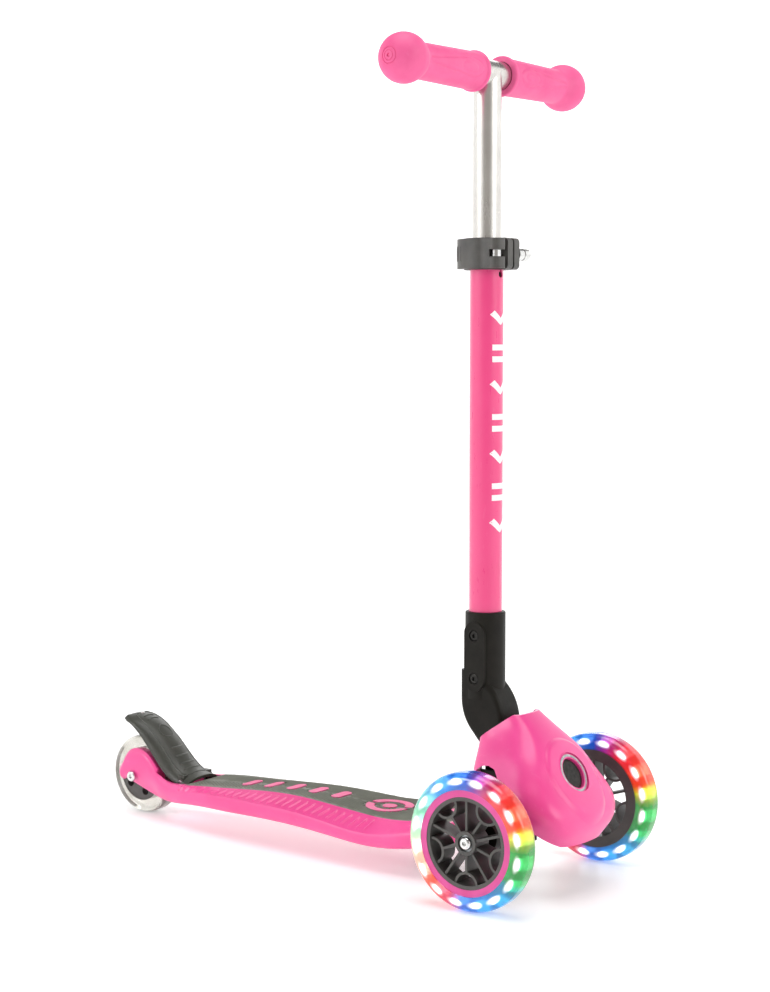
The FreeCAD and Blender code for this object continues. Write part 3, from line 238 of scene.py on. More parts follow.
# steel with a zinc skin: grey, faintly bluish, cloudy where the plating is thin
zincPlatedSteel = layFinish("zincPlatedSteel", {
    "dark": "#9FA3A6", "light": "#C2C5C6", "metallic": 1.0, "roughness": (0.28, 0.45), "shadeSize": 0.004,
    "grainSize": 0.0008, "grainDepth": 0.00003, "scuff": 0.1})

# polished steel: bright, with hairlines from handling
polishedSteel = layFinish("polishedSteel", {
    "dark": "#CFCFCE", "light": "#E8E8E6", "metallic": 1.0, "roughness": (0.10, 0.22), "shadeSize": 0.006,
    "grainSize": 0.0012, "grainDepth": 0.00001, "scuff": 0.05})

# steel blackened in hot oxide: near black with an oily sheen
blackOxideSteel = layFinish("blackOxideSteel", {
    "dark": "#2B2A29", "light": "#3B3A38", "metallic": 1.0, "roughness": (0.30, 0.45), "shadeSize": 0.004,
    "grainSize": 0.0008, "grainDepth": 0.00002, "scuff": 0.1})

# white ink printed on the powder coat: flat, with a few pinholes
padPrintInk = layFinish("whitePadPrintInk", {
    "dark": "#F4EEF0", "light": "#FFFFFF", "worn": "#F7C9DA", "scuff": 0.2, "ior": 1.5,
    "roughness": (0.35, 0.48), "shadeSize": 0.01, "grainSize": 0.0014, "grainDepth": 0.00002})


def glowingTyre(name, centre, look):
    # clear urethane cast over small lamps: each lamp whitens the rubber near it and tints the rest in its colour
    material, tree, shader, place = startFinish(name, look)
    middle = addNode(tree, "ShaderNodeVectorMath", {"operation": "SUBTRACT"}, links={0: place})
    middle.inputs[1].default_value = centre
    axes = addNode(tree, "ShaderNodeSeparateXYZ", links={"Vector": middle.outputs["Vector"]})
    angle = addNode(tree, "ShaderNodeMath", {"operation": "ARCTAN2"},
                    links={0: axes.outputs["Z"], 1: axes.outputs["X"]})
    around = addNode(tree, "ShaderNodeMapRange", values={"From Min": -pi, "From Max": pi},
                     links={"Value": angle.outputs["Value"]})
    flat = addNode(tree, "ShaderNodeCombineXYZ", links={"X": axes.outputs["X"], "Z": axes.outputs["Z"]})
    reach = addNode(tree, "ShaderNodeVectorMath", {"operation": "LENGTH"}, links={0: flat.outputs["Vector"]})
    blur = addNode(tree, "ShaderNodeTexNoise", values={"Scale": 1 / look["swirlSize"], "Detail": 3.0},
                   links={"Vector": place})
    shift = addNode(tree, "ShaderNodeMapRange", values={"To Min": -0.016, "To Max": 0.016},
                    links={"Value": blur.outputs["Fac"]})
    where = addNode(tree, "ShaderNodeMath", {"operation": "ADD"},
                    links={0: around.outputs["Result"], 1: shift.outputs["Result"]})
    hue = addNode(tree, "ShaderNodeValToRGB", links={"Fac": where.outputs["Value"]})
    setRamp(hue, look["colours"])
    # distance from the nearest lamp: its share of a turn sets one side, the radius the other
    turns = addNode(tree, "ShaderNodeMath", {"operation": "MULTIPLY"}, links={0: around.outputs["Result"]})
    turns.inputs[1].default_value = look["lamps"]
    share = addNode(tree, "ShaderNodeMath", {"operation": "FRACT"}, links={0: turns.outputs["Value"]})
    sideways = addNode(tree, "ShaderNodeMapRange",
                       values={"To Min": -look["lampPitch"] / 2, "To Max": look["lampPitch"] / 2},
                       links={"Value": share.outputs["Value"]})
    outwards = addNode(tree, "ShaderNodeMath", {"operation": "SUBTRACT"}, links={0: reach.outputs["Value"]})
    outwards.inputs[1].default_value = look["lampRadius"]
    offset = addNode(tree, "ShaderNodeCombineXYZ",
                     links={"X": sideways.outputs["Result"], "Y": outwards.outputs["Value"]})
    ease = addNode(tree, "ShaderNodeMapping", values={"Scale": (0.52, 1.3, 1)},
                   links={"Vector": offset.outputs["Vector"]})
    away = addNode(tree, "ShaderNodeVectorMath", {"operation": "LENGTH"}, links={0: ease.outputs["Vector"]})
    halo = addNode(tree, "ShaderNodeMapRange", {"interpolation_type": "SMOOTHSTEP"},
                   values={"From Min": 0.0012, "From Max": 0.0050, "To Min": 1.0, "To Max": 0.0},
                   links={"Value": away.outputs["Value"]})
    colour = addNode(tree, "ShaderNodeMixRGB", values={"Color2": linear("#FFFFFF")},
                     links={"Fac": halo.outputs["Result"], "Color1": hue.outputs["Color"]})
    tree.links.new(colour.outputs["Color"], shader.inputs["Base Color"])
    tree.links.new(colour.outputs["Color"], shader.inputs["Emission Color"])
    power = addNode(tree, "ShaderNodeMapRange", values={"To Min": look["glow"], "To Max": look["haloGlow"]},
                    links={"Value": halo.outputs["Result"]})
    tree.links.new(power.outputs["Result"], shader.inputs["Emission Strength"])
    shader.inputs["Roughness"].default_value = look["roughness"]
    shader.inputs["Transmission Weight"].default_value = look["clear"]
    ripple = addNode(tree, "ShaderNodeBump", values={"Strength": 0.3, "Distance": 0.0001},
                     links={"Height": blur.outputs["Fac"]})
    tree.links.new(ripple.outputs["Normal"], shader.inputs["Normal"])
    return material


tyreLook = {
    "ior": 1.5, "roughness": 0.16, "clear": 0.35, "coat": 0.6, "coatRoughness": 0.06, "swirlSize": 0.012,
    "lamps": 16, "lampPitch": 0.0208, "lampRadius": 0.053, "glow": 0.26, "haloGlow": 0.75,
    # from the rear of the wheel, under it, to its front, over it and back
    "colours": [(0.0, "#B9E4BE"), (0.07, "#E9B79C"), (0.13, "#D8431E"), (0.20, "#CC3C62"), (0.235, "#1C5FC4"),
                (0.30, "#0676BE"), (0.385, "#0A7EA6"), (0.415, "#08923A"), (0.50, "#0C962C"), (0.535, "#BFC81C"),
                (0.56, "#E04A1C"), (0.66, "#D02230"), (0.715, "#8C3290"), (0.745, "#2052B8"), (0.84, "#0E82CE"),
                (0.93, "#7CCBA8"), (1.0, "#B9E4BE")]}


def lampGlow():
    # lamps behind a clear lens: nearly white, and evenly bright
    material, tree, shader, place = startFinish("lampLens", {"ior": 1.5})
    frost = addNode(tree, "ShaderNodeTexNoise", values={"Scale": 400.0, "Detail": 2.0}, links={"Vector": place})
    tone = addNode(tree, "ShaderNodeValToRGB", links={"Fac": frost.outputs["Fac"]})
    setRamp(tone, [(0.3, "#F4FAFF"), (0.7, "#FFFFFF")])
    tree.links.new(tone.outputs["Color"], shader.inputs["Base Color"])
    tree.links.new(tone.outputs["Color"], shader.inputs["Emission Color"])
    shader.inputs["Emission Strength"].default_value = 2.2
    shader.inputs["Roughness"].default_value = 0.3
    return material


def clearUrethane():
    # clear urethane cast on a grey core: smoky where it is thick, with faint swirls
    material, tree, shader, place = startFinish("clearCastUrethane", {"ior": 1.5, "coat": 0.5, "coatRoughness": 0.05})
    swirl = addNode(tree, "ShaderNodeTexNoise", values={"Scale": 60.0, "Detail": 3.0}, links={"Vector": place})
    tone = addNode(tree, "ShaderNodeValToRGB", links={"Fac": swirl.outputs["Fac"]})
    setRamp(tone, [(0.35, "#D2D0C4"), (0.65, "#EDECE6")])
    tree.links.new(tone.outputs["Color"], shader.inputs["Base Color"])
    gloss = addNode(tree, "ShaderNodeMapRange", values={"To Min": 0.05, "To Max": 0.16},
                    links={"Value": swirl.outputs["Fac"]})
    tree.links.new(gloss.outputs["Result"], shader.inputs["Roughness"])
    shader.inputs["Transmission Weight"].default_value = 0.8
    return material


finishes = {
    "pink_deck": mouldedPolypropylene, "pink_paint": powderCoatedSteel, "pink_soft": mouldedRubber,
    "pink_ring": castUrethane, "grey_mat": pressedRubber, "black_nylon": glassFilledNylon, "grey_plastic": greyNylon,
    "clear_tyre": clearUrethane(), "lamp": lampGlow(), "silver_tube": anodisedAluminium, "zinc": zincPlatedSteel,
    "bright_steel": polishedSteel, "dark_steel": blackOxideSteel, "brake_rubber": pressedBrakeRubber}


def middleOf(node):
    low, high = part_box(node)
    return (low + high) / 2


for side in ("left", "right"):
    finishes["tyre_" + side] = glowingTyre("glowingUrethane_" + side, middleOf("rim_ring_" + side), tyreLook)

specialFinish = {"front_tyre_left": "tyre_left", "front_tyre_right": "tyre_right", "release_button": "dark_steel",
                 "pad_inlays": "pink_soft", "rear_brake": "brake_rubber", "button_ring": "zinc"}


def dress(piece, key):
    piece.data.materials.clear()
    piece.data.materials.append(finishes[key])


for name, node in nodes.items():
    dress(node, specialFinish.get(name, slotOf[name]))
print("finishes laid:", len(bpy.data.materials))


# smooth skins: copies of curved CAD pieces, merged so that light runs evenly over them

smoothSkins = {
    "front_cover": 32, "deck_frame": 28, "foot_pad": 30, "post_tube": 30, "riser_tube": 30, "cross_tube": 30,
    "stem_knuckle": 30,
    "clamp_collar": 30, "clamp_lever": 30, "rear_brake": 35, "rim_ring_left": 30, "rim_ring_right": 30,
    "front_hub_left": 30, "front_hub_right": 30, "front_tyre_left": 30, "front_tyre_right": 30, "rear_tyre": 30,
    "rear_hub": 30, "release_button": 30, "button_ring": 30, "clamp_nut": 30, "truck_beam": 30, "brake_rivet": 30,
    "led_modules_left": 30, "led_modules_right": 30}
skins = {}
bodyOf = {name: node["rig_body"] for name, node in nodes.items()}
for name, angle in smoothSkins.items():
    pick(nodes[name])
    bpy.ops.object.duplicate()
    skin = bpy.context.object
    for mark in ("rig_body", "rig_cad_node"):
        if mark in skin:
            del skin[mark]
    skin.parent = None
    skin.name = "skin_" + name
    skin.data.name = skin.name
    pick(skin)
    bpy.ops.object.mode_set(mode="EDIT")
    bpy.ops.mesh.select_all(action="SELECT")
    bpy.ops.mesh.remove_doubles(threshold=0.000004)
    bpy.ops.object.mode_set(mode="OBJECT")
    bpy.ops.mesh.customdata_custom_splitnormals_clear()
    bpy.ops.object.shade_smooth_by_angle(angle=radians(angle))
    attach(skin, bodyOf[name])
    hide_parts(name)
    skins[name] = skin
print("smooth skins:", len(skins))


# handlebar grips

gripShape = {
    "sides": 128, "start": 0.0203, "flange": 0.01815, "near": 0.0168, "far": 0.0156,
    "ballPlace": 0.1269, "ballRadius": 0.0216,
    "panelStart": 0.031, "panelEnd": 0.109, "panelWide": 0.0088, "groove": 0.0006, "grooveWide": 0.0006}


def gripRadius(y):
    shape = gripShape
    share = (y - 0.026) / (0.112 - 0.026)
    taper = shape["near"] + (shape["far"] - shape["near"]) * min(max(share, 0), 1)
    ball = sqrt(max(shape["ballRadius"] ** 2 - (y - shape["ballPlace"]) ** 2, 0))
    return (taper ** 12 + ball ** 12) ** (1 / 12) if y < shape["ballPlace"] else ball


def gripOutline():
    # distance from the middle of the bar, and radius, from the inner lip to the pole of the ball
    shape = gripShape
    start = shape["start"]
    outline = [(start, 0.0129), (start, 0.0165), (0.0206, 0.0174), (0.0213, 0.0180), (0.0222, shape["flange"]),
               (0.0234, shape["flange"]), (0.0243, 0.0179), (0.0249, 0.0173), (0.0254, 0.0169)]
    y = 0.0262
    while y < shape["ballPlace"] - 0.0004:
        outline.append((y, gripRadius(y)))
        y += 0.0009
    for step in range(0, 22):
        turn = radians(step * 3.2)
        outline.append((shape["ballPlace"] + shape["ballRadius"] * sin(turn), shape["ballRadius"] * cos(turn)))
    # moulded rings on the end of the ball
    for radius, lift in ((0.0074, 0.0), (0.0072, -0.0005), (0.0066, -0.0005), (0.0064, 0.00005), (0.0047, 0.00005),
                         (0.0045, -0.0004), (0.0039, -0.0004), (0.0037, 0.00005), (0.0017, 0.00005),
                         (0.0014, -0.0009)):
        outline.append((shape["ballPlace"] + sqrt(shape["ballRadius"] ** 2 - radius ** 2) + lift, radius))
    return outline


def pressPanel(piece, axisX, axisZ):
    # a leaf-shaped panel on the front and the back of the grip, with a small oval inside it
    shape = gripShape
    for vertex in piece.data.vertices:
        y = abs(vertex.co.y)
        if not 0.026 < y < 0.116:
            continue
        out = Vector((vertex.co.x - axisX, 0, vertex.co.z - axisZ))
        radius = out.length
        bend = atan2(out.z, abs(out.x))
        across = abs(bend) * radius
        along = (y - shape["panelStart"]) / (shape["panelEnd"] - shape["panelStart"])
        if along < 0.22:
            wide = shape["panelWide"] * sqrt(max(1 - ((0.22 - along) / 0.22) ** 2, 0))
        else:
            wide = shape["panelWide"] * (1 - 0.78 * ((along - 0.22) / 0.78) ** 0.8)
        if along < 0 or along > 1:
            wide = 0
        edge = abs(across - wide) / shape["grooveWide"]
        drop = shape["groove"] * exp(-edge ** 2) if wide > 0 else 0
        lift = 0.00035 * min(max((wide - across) / 0.0015, 0), 1)
        oval = sqrt(((y - 0.050) / 0.012) ** 2 + (across / 0.0046) ** 2)
        drop += 0.0004 * exp(-((oval - 1) * 0.0046 / 0.0006) ** 2)
        lift += 0.0002 * min(max((1 - oval) * 3, 0), 1)
        out *= (radius + lift - drop) / radius
        vertex.co.x = axisX + out.x
        vertex.co.z = axisZ + out.z


def makeGrip(side):
    bar = middleOf("cross_tube")
    outline = gripOutline()
    dropSelection()
    firstY, firstRadius = outline[0]
    bpy.ops.mesh.primitive_circle_add(vertices=gripShape["sides"], radius=firstRadius,
                                      location=(bar.x, side * firstY, bar.z), rotation=(pi / 2, 0, 0))
    grip = bpy.context.object
    bpy.ops.object.transform_apply(location=True, rotation=True, scale=True)
    bpy.ops.object.mode_set(mode="EDIT")
    bpy.ops.mesh.select_all(action="SELECT")
    lastY, lastRadius = outline[0]
    for y, radius in outline[1:]:
        bpy.ops.mesh.extrude_region_move(TRANSFORM_OT_translate={"value": (0, side * (y - lastY), 0)})
        ratio = radius / lastRadius
        bpy.ops.transform.resize(value=(ratio, 1, ratio), center_override=(bar.x, side * y, bar.z))
        lastY, lastRadius = y, radius
    bpy.ops.mesh.edge_face_add()
    bpy.ops.mesh.select_all(action="DESELECT")
    bpy.ops.object.mode_set(mode="OBJECT")
    pressPanel(grip, bar.x, bar.z)
    # a wall on the inside closes the skin down to the bar
    for edge in grip.data.edges:
        edge.select = True
        for end in edge.vertices:
            spot = grip.data.vertices[end].co
            radius = Vector((spot.x - bar.x, spot.z - bar.z)).length
            if abs(abs(spot.y) - firstY) > 1e-6 or abs(radius - firstRadius) > 1e-5:
                edge.select = False
    bpy.context.tool_settings.mesh_select_mode = (False, True, False)
    bpy.ops.object.mode_set(mode="EDIT")
    bpy.ops.mesh.extrude_region_move(TRANSFORM_OT_translate={"value": (0, side * 0.09, 0)})
    bpy.ops.mesh.edge_face_add()
    bpy.ops.object.mode_set(mode="OBJECT")
    bpy.context.tool_settings.mesh_select_mode = (True, False, False)
    return grip


for side, sideName in ((1, "left"), (-1, "right")):
    grip = makeGrip(side)
    grip.name = "softGrip_" + sideName
    settle(grip, 50)
    dress(grip, "pink_soft")
    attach(grip, "handlebar")
    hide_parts("grip_" + sideName)
print("grips made")


# grey flange on the inner side of each front wheel, over the coloured ring

flange = {"inner": 0.0362, "outer": 0.0470, "thick": 0.0006, "sides": 96}


def makeFlange(sideName, side):
    low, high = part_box("rim_ring_" + sideName)
    centre = (low + high) / 2
    y = (low.y if side > 0 else high.y) - side * flange["thick"]
    dropSelection()
    bpy.ops.mesh.primitive_circle_add(vertices=flange["sides"], radius=flange["inner"],
                                      location=(centre.x, y, centre.z), rotation=(pi / 2, 0, 0))
    plate = bpy.context.object
    bpy.ops.object.transform_apply(location=True, rotation=True, scale=True)
    bpy.ops.object.mode_set(mode="EDIT")
    bpy.ops.mesh.select_all(action="SELECT")
    lastRadius = flange["inner"]
    for radius, shift in ((flange["inner"] + 0.0016, 0.0), (flange["inner"] + 0.0024, 0.0005),
                          (flange["outer"] - 0.0014, 0.0005), (flange["outer"], 0.0)):
        bpy.ops.mesh.extrude_region_move(TRANSFORM_OT_translate={"value": (0, 0, 0)})
        ratio = radius / lastRadius
        bpy.ops.transform.resize(value=(ratio, 1, ratio), center_override=(centre.x, y, centre.z))
        if shift:
            bpy.ops.transform.translate(value=(0, side * shift * 0.4, 0))
        lastRadius = radius
    bpy.ops.object.mode_set(mode="OBJECT")
    applyModifier(plate, "SOLIDIFY", thickness=flange["thick"], offset=0.0)
    plate.name = "wheelFlange_" + sideName
    settle(plate, 30)
    dress(plate, "grey_plastic")
    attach(plate, "wheel_" + sideName)


for side, sideName in ((1, "left"), (-1, "right")):
    makeFlange(sideName, side)
print("flanges made")


# raised lines: narrow strips laid on a surface, each with a crest along its middle

def layStrips(name, lines, width, height, target, axis="Z", depth=0.0007, sink=0.00005):
    # each line is a row of points over the target, and the strips drop onto it along the axis
    strips = []
    for line in lines:
        count = len(line) - 1
        bpy.ops.mesh.primitive_grid_add(x_subdivisions=count, y_subdivisions=2, size=2, location=(0, 0, 0))
        strip = bpy.context.object
        crest = strip.vertex_groups.new(name="crest")
        closed = (line[0] - line[count]).length < 1e-6
        for vertex in strip.data.vertices:
            step = round((vertex.co.x + 1) / 2 * count)
            across = round(vertex.co.y)
            here = line[step]
            ahead = line[min(step + 1, count)] - line[max(step - 1, 0)]
            if closed and step in (0, count):
                ahead = line[1] - line[count - 1]
            if axis == "Z":
                sideways = Vector((-ahead.y, ahead.x, 0)).normalized()
            else:
                sideways = Vector((0, -ahead.z, ahead.y)).normalized()
            vertex.co = here + sideways * across * width / 2
            if across == 0 and (0 < step < count or closed):
                crest.add([vertex.index], 1.0, "REPLACE")
        strips.append(strip)
    piece = joinPieces(strips, name)
    applyModifier(piece, "SHRINKWRAP", target=target, wrap_method="PROJECT", use_project_x=(axis == "X"),
                  use_project_z=(axis == "Z"), use_negative_direction=True, use_positive_direction=False)
    start = lines[0][0].x if axis == "X" else lines[0][0].z
    bpy.ops.object.mode_set(mode="EDIT")
    bpy.ops.mesh.select_all(action="DESELECT")
    bpy.ops.object.mode_set(mode="OBJECT")
    for vertex in piece.data.vertices:
        vertex.select = abs((vertex.co.x if axis == "X" else vertex.co.z) - start) < 0.001
    bpy.ops.object.mode_set(mode="EDIT")
    bpy.ops.mesh.delete(type="VERT")  # what found nothing under it
    bpy.ops.object.mode_set(mode="OBJECT")
    applyModifier(piece, "DISPLACE", strength=-sink, mid_level=0.0)
    if height:
        applyModifier(piece, "DISPLACE", strength=height, mid_level=0.0, vertex_group="crest")
    applyModifier(piece, "SOLIDIFY", thickness=depth, offset=-1.0)
    return piece


# the pad's ribs fan out from its middle line: steep at the back, nearly straight at the front
padRibs = {"pitch": 0.0036, "width": 0.0023, "height": 0.0011, "rearTurn": 40, "frontTurn": 7, "step": 0.005,
           "margin": 0.0012}
padEdge = [(-0.1635, 0.0308), (-0.1466, 0.0306), (-0.1166, 0.0298), (-0.0716, 0.0273), (-0.0266, 0.0292),
           (0.0184, 0.0338), (0.0484, 0.0362), (0.0784, 0.0412), (0.1084, 0.0476), (0.1384, 0.0486),
           (0.1604, 0.0456)]


def between(table, x):
    for (x0, y0), (x1, y1) in zip(table, table[1:]):
        if x0 <= x <= x1:
            return y0 + (y1 - y0) * (x - x0) / (x1 - x0)
    return table[0][1] if x < table[0][0] else table[-1][1]


def ribLines():
    low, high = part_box("foot_pad")
    start, end = low.x + 0.0015, high.x - 0.0015
    steps = int((end - start) / padRibs["step"])
    xs = [start + (end - start) * i / steps for i in range(steps + 1)]
    run = [0.0]
    for a, b in zip(xs, xs[1:]):
        share = ((a + b) / 2 - start) / (end - start)
        turn = radians(padRibs["rearTurn"] + (padRibs["frontTurn"] - padRibs["rearTurn"]) * share)
        run.append(run[-1] + (b - a) * tan(turn))
    lines = []
    lowest = -int(run[-1] / padRibs["pitch"])
    highest = int(0.05 / padRibs["pitch"])
    for k in range(lowest, highest + 1):
        for side in (1, -1):
            line = []
            for x, sideways in zip(xs, run):
                y = k * padRibs["pitch"] + sideways + padRibs["pitch"] / 2
                if 0.0003 < y < between(padEdge, x) - padRibs["margin"]:
                    line.append(Vector((x, side * y, 0.12)))
            if len(line) > 2:
                lines.append(line if side > 0 else line[::-1])
    return lines


ribs = layStrips("padRibs", ribLines(), padRibs["width"], padRibs["height"], nodes["foot_pad"])
settle(ribs, 25, recalculate=False)
dress(ribs, "grey_mat")
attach(ribs, "deck")

# slanted lines along the sloping rails of the deck, shorter towards the front
railRibs = {"pitch": 0.0095, "width": 0.0036, "height": 0.0010, "first": -0.168, "last": 0.082, "lean": 0.010}
railEdge = [(-0.1716, 0.032, 0.036), (-0.1466, 0.0322, 0.040), (-0.1166, 0.0305, 0.0435), (-0.0716, 0.0276, 0.047),
            (-0.0266, 0.0295, 0.050), (0.0184, 0.0341, 0.053), (0.0484, 0.0365, 0.055), (0.0784, 0.0415, 0.0565),
            (0.1084, 0.048, 0.0575)]


def railLines():
    inner = [(x, a) for x, a, b in railEdge]
    outer = [(x, b) for x, a, b in railEdge]
    lines = []
    count = int((railRibs["last"] - railRibs["first"]) / railRibs["pitch"])
    for i in range(count + 1):
        x = railRibs["first"] + railRibs["pitch"] * i
        for side in (1, -1):
            line = []
            for k in range(9):
                share = 0.20 + 0.66 * k / 8
                px = x - railRibs["lean"] * (share - 0.2)
                y = between(inner, px) + (between(outer, px) - between(inner, px)) * share
                line.append(Vector((px, side * y, 0.12)))
            lines.append(line if side > 0 else line[::-1])
    return lines


rails = layStrips("railRibs", railLines(), railRibs["width"], railRibs["height"], nodes["deck_frame"])
settle(rails, 25, recalculate=False)
dress(rails, "pink_deck")
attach(rails, "deck")
print("deck lines laid")


# raised lines on the brake

brakeLines = {"width": 0.0016, "height": 0.0007, "bossPlace": -0.2235, "bossRadius": 0.0078, "rear": -0.2570,
              "front": -0.1795, "halfRear": 0.0125, "halfFront": 0.0175,
              "bars": [(-0.2405, 0.0080), (-0.2465, 0.0074), (-0.2085, 0.0088), (-0.2015, 0.0100), (-0.1945, 0.0112),
                       (-0.1880, 0.0124)]}


def brakeOutline():
    # a frame with rounded corners, a ring, and bowed bars above and below it
    shape = brakeLines
    lines = []
    frameLine = []
    middle = (shape["rear"] + shape["front"]) / 2
    half = (shape["front"] - shape["rear"]) / 2
    for i in range(97):
        turn = 2 * pi * i / 96
        sx = abs(cos(turn)) ** 0.35 * (1 if cos(turn) > 0 else -1)
        sy = abs(sin(turn)) ** 0.35 * (1 if sin(turn) > 0 else -1)
        x = middle + half * sx
        share = (x - shape["rear"]) / (shape["front"] - shape["rear"])
        wide = shape["halfRear"] + (shape["halfFront"] - shape["halfRear"]) * share
        frameLine.append(Vector((x, wide * sy, 0.15)))
    frameLine[-1] = frameLine[0].copy()
    lines.append(frameLine)
    radius = shape["bossRadius"]
    ring = [Vector((shape["bossPlace"] + radius * cos(2 * pi * i / 40) * 0.82, radius * sin(2 * pi * i / 40), 0.15))
            for i in range(41)]
    ring[-1] = ring[0].copy()
    lines.append(ring)
    for x, wide in shape["bars"]:
        bow = 0.0016 if x > shape["bossPlace"] else -0.0012
        shares = [2 * k / 16 - 1 for k in range(17)]
        lines.append([Vector((x + bow * (1 - share ** 2), wide * share, 0.15)) for share in shares])
    return lines


relief = layStrips("brakeRelief", brakeOutline(), brakeLines["width"], brakeLines["height"], nodes["rear_brake"])
settle(relief, 25, recalculate=False)
dress(relief, "brake_rubber")
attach(relief, "brake")
print("brake lines laid")


# soft raised face on the front cover, round the button

coverFace = {"tilt": 29.5, "inner": 0.0186, "high": 0.036, "low": 0.050, "wide": 0.036, "lift": 0.0019,
             "rings": 14, "ringGrowth": 1.05, "sides": 96}


def makeCoverFace():
    shape = coverFace
    button = middleOf("button_ring")
    out = Vector((cos(radians(shape["tilt"])), 0, sin(radians(shape["tilt"]))))
    dropSelection()
    bpy.ops.mesh.primitive_circle_add(vertices=shape["sides"], radius=shape["inner"], location=(0, 0, 0))
    face = bpy.context.object
    bpy.ops.object.mode_set(mode="EDIT")
    bpy.ops.mesh.select_all(action="SELECT")
    growth = shape["ringGrowth"]
    for ring in range(shape["rings"]):
        bpy.ops.mesh.extrude_region_move(TRANSFORM_OT_translate={"value": (0, 0, 0)})
        bpy.ops.transform.resize(value=(growth, growth, 1), center_override=(0, 0, 0))
    bpy.ops.object.mode_set(mode="OBJECT")
    # rings spread from the button's circle to the outline of the face; local X points up the cover
    lift = face.vertex_groups.new(name="lift")
    for vertex in face.data.vertices:
        radius = vertex.co.length
        step = 0
        size = shape["inner"]
        while size * growth < radius * 1.02:
            size *= growth
            step += 1
        share = step / shape["rings"]
        turn = atan2(vertex.co.y, vertex.co.x)
        length = shape["high"] if cos(turn) > 0 else shape["low"]
        edge = 1 / sqrt((cos(turn) / length) ** 2 + (sin(turn) / shape["wide"]) ** 2)
        reach = shape["inner"] + (edge - shape["inner"]) * share
        vertex.co = Vector((reach * cos(turn), reach * sin(turn), 0.06))
        weight = min(1.0, (1 - share) / 0.30) if share < 1 else 0.0
        weight = weight * weight * (3 - 2 * weight)
        lift.add([vertex.index], weight, "REPLACE")
    up = Vector((-out.z, 0, out.x))
    face.matrix_world = Matrix.Translation(button) @ Matrix((up, out.cross(up), out)).transposed().to_4x4()
    bpy.context.view_layer.update()
    applyModifier(face, "SHRINKWRAP", target=nodes["front_cover"], wrap_method="PROJECT", use_project_z=True,
                  use_negative_direction=True, use_positive_direction=False)
    return face


face = makeCoverFace()
face.name = "coverFace"
face.data.name = "coverFace"
applyModifier(face, "DISPLACE", strength=-0.00012, mid_level=0.0)
applyModifier(face, "DISPLACE", strength=coverFace["lift"], mid_level=0.0, vertex_group="lift")
applyModifier(face, "SOLIDIFY", thickness=0.0008, offset=-1.0)
settle(face, 60)
dress(face, "pink_deck")
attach(face, "deck")
print("cover face made")


# plain printed marks down the front of the post: chevrons and bars

postMarks = {"top": 0.512, "pitch": 0.031, "count": 7, "half": 0.0088, "drop": 0.0085, "stroke": 0.0052}


def markLines():
    post = middleOf("post_tube")
    lines = []
    for i in range(postMarks["count"]):
        z = postMarks["top"] - postMarks["pitch"] * i
        drop = postMarks["drop"] if i % 2 == 0 else 0.0
        line = []
        for k in range(13):
            share = 2 * k / 12 - 1
            line.append(Vector((post.x + 0.03, postMarks["half"] * share, z - drop * (1 - abs(share)))))
        lines.append(line)
        if i % 2 == 1:
            lines.append([point - Vector((0, 0, 0.0105)) for point in line])
    return lines


marks = layStrips("postMarks", markLines(), postMarks["stroke"], 0.0, nodes["post_tube"], axis="X", depth=0.0002,
                  sink=-0.00012)
settle(marks, 40)
dress(marks, "pink_paint")
marks.data.materials[0] = padPrintInk
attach(marks, "stem")
print("marks laid")


# finger ridges on the clamp lever

leverRidges = {"reach": 0.0265, "radius": 0.0012, "height": 0.0135, "proud": 0.00045,
               "turns": (-148, -139, -129, -118)}
leverLow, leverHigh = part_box("clamp_lever")
stemMiddle = middleOf("post_tube")
ridges = []
for turn in leverRidges["turns"]:
    reach = leverRidges["reach"] + leverRidges["proud"] - leverRidges["radius"]
    spot = (stemMiddle.x + reach * cos(radians(turn)), reach * sin(radians(turn)), (leverLow.z + leverHigh.z) / 2)
    dropSelection()
    bpy.ops.mesh.primitive_cylinder_add(vertices=20, radius=leverRidges["radius"], depth=leverRidges["height"],
                                        location=spot)
    ridge = bpy.context.object
    bpy.ops.object.mode_set(mode="EDIT")
    bpy.ops.mesh.select_all(action="SELECT")
    bpy.ops.mesh.bevel(offset=0.0004, segments=2)
    bpy.ops.object.mode_set(mode="OBJECT")
    ridges.append(ridge)
ridgeSet = joinPieces(ridges, "leverRidges")
settle(ridgeSet, 40)
dress(ridgeSet, "grey_plastic")
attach(ridgeSet, "lever")
print("lever ridges made")


# studio: one pale bowl of paper, soft lights, and the camera

studio = {"radius": 5.0, "height": 3.4, "curve": 1.6, "floorShine": 0.30, "wallShine": 0.55}
dropSelection()
bpy.ops.mesh.primitive_circle_add(vertices=96, radius=studio["radius"] - studio["curve"], fill_type="NGON",
                                  location=(0, 0, 0))
bowl = bpy.context.object
bowl.name = "paperBowl"
bpy.ops.object.mode_set(mode="EDIT")
bpy.ops.mesh.select_all(action="SELECT")
lastRadius, lastHeight = studio["radius"] - studio["curve"], 0.0
for step in range(1, 13):
    turn = radians(90 * step / 12)
    radius = studio["radius"] - studio["curve"] * (1 - sin(turn))
    height = studio["curve"] * (1 - cos(turn))
    bpy.ops.mesh.extrude_region_move(TRANSFORM_OT_translate={"value": (0, 0, height - lastHeight)})
    bpy.ops.transform.resize(value=(radius / lastRadius, radius / lastRadius, 1), center_override=(0, 0, height))
    lastRadius, lastHeight = radius, height
bpy.ops.mesh.extrude_region_move(TRANSFORM_OT_translate={"value": (0, 0, studio["height"] - lastHeight)})
bpy.ops.mesh.delete(type="ONLY_FACE")
bpy.ops.object.mode_set(mode="OBJECT")
bpy.ops.object.shade_smooth()

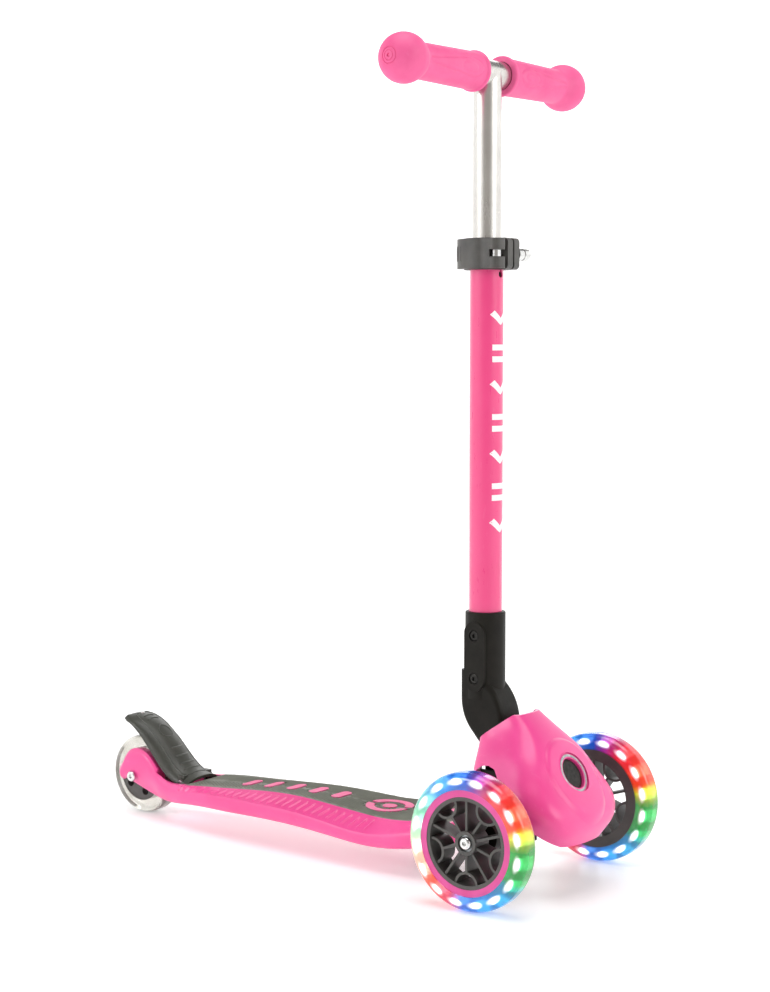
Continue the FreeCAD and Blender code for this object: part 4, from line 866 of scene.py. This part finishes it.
paper = bpy.data.materials.new("mattPaper")
paper.use_nodes = True
paperTree = paper.node_tree
paperShader = paperTree.nodes["Principled BSDF"]
paperShader.inputs["Roughness"].default_value = 0.38
paperShader.inputs["Specular IOR Level"].default_value = 0.25
paperShader.inputs["Emission Color"].default_value = (1, 1, 1, 1)
# the walls shine softly, more above the floor than on it, and the side that faces the camera carries painted shade: a
# greyer colour and a weaker shine
spot = addNode(paperTree, "ShaderNodeTexCoord").outputs["Object"]
heights = addNode(paperTree, "ShaderNodeSeparateXYZ", links={"Vector": spot})
rise = addNode(paperTree, "ShaderNodeMapRange",
               values={"From Min": 0.02, "From Max": 0.9, "To Min": studio["floorShine"],
                                                       "To Max": studio["wallShine"]},
                                                       links={"Value": heights.outputs["Z"]})
quarter = addNode(paperTree, "ShaderNodeVectorMath", {"operation": "DOT_PRODUCT"}, links={0: spot})
quarter.inputs[1].default_value = (0.593 / studio["radius"], -0.8015 / studio["radius"], 0)
# painted shade: on the side that faces the camera the wall's shine drops to 0.12 of its height value
cameraSideShade = addNode(paperTree, "ShaderNodeMapRange", {"interpolation_type": "SMOOTHSTEP"},
                  values={"From Min": 0.62, "From Max": 0.90, "To Min": 1.0, "To Max": 0.12},
                  links={"Value": quarter.outputs["Value"]})
shine = addNode(paperTree, "ShaderNodeMath", {"operation": "MULTIPLY"},
                links={0: rise.outputs["Result"], 1: cameraSideShade.outputs["Result"]})
# painted shade in the colour: the paper greys on the side that faces the camera
tone = addNode(paperTree, "ShaderNodeValToRGB", links={"Fac": cameraSideShade.outputs["Result"]})
setRamp(tone, [(0.12, "#B6B1AC"), (1.0, "#F6F6F6")])
paperTree.links.new(tone.outputs["Color"], paperShader.inputs["Base Color"])
paperTree.links.new(shine.outputs["Value"], paperShader.inputs["Emission Strength"])
bowl.data.materials.append(paper)

world = bpy.data.worlds.new("paleRoom")
world.use_nodes = True
world.node_tree.nodes["Background"].inputs["Color"].default_value = (1, 1, 1, 1)
world.node_tree.nodes["Background"].inputs["Strength"].default_value = 0.22
bpy.context.scene.world = world

lights = {
    "overhead": {"place": (0.2, -0.2, 3.2), "size": 2.4, "power": 50},
    "leftSoft": {"place": (-1.6, -2.6, 1.6), "size": 1.2, "power": 25},
    "rightSoft": {"place": (2.7, 0.3, 1.5), "size": 1.4, "power": 17},
    "backSoft": {"place": (-1.4, 2.6, 1.8), "size": 1.8, "power": 12}}
for name, light in lights.items():
    data = bpy.data.lights.new(name, "AREA")
    data.shape = "DISK"
    data.size = light["size"]
    data.energy = light["power"]
    lamp = bpy.data.objects.new(name, data)
    bpy.context.scene.collection.objects.link(lamp)
    lamp.location = light["place"]
    lamp.rotation_euler = (Vector((0.05, 0, 0.3)) - Vector(light["place"])).to_track_quat("-Z", "Y").to_euler()

view = {"place": Vector((1.16895, -1.5021, 0.4870)), "right": Vector((0.8039, 0.5948, 0.0)),
        "back": Vector((0.5930, -0.8015, 0.0774)), "lens": 72.60}
cameraData = bpy.data.cameras.new("view")
cameraData.lens = view["lens"]
cameraData.sensor_width = 36.0
cameraData.clip_end = 40.0
camera = bpy.data.objects.new("view", cameraData)
bpy.context.scene.collection.objects.link(camera)
up = view["back"].cross(view["right"]).normalized()
turn = Matrix((view["right"], up, view["back"])).transposed().to_4x4()
camera.matrix_world = Matrix.Translation(view["place"]) @ turn
bpy.context.scene.camera = camera
bpy.context.scene.view_settings.view_transform = "Standard"
print("studio set")

dropSelection()
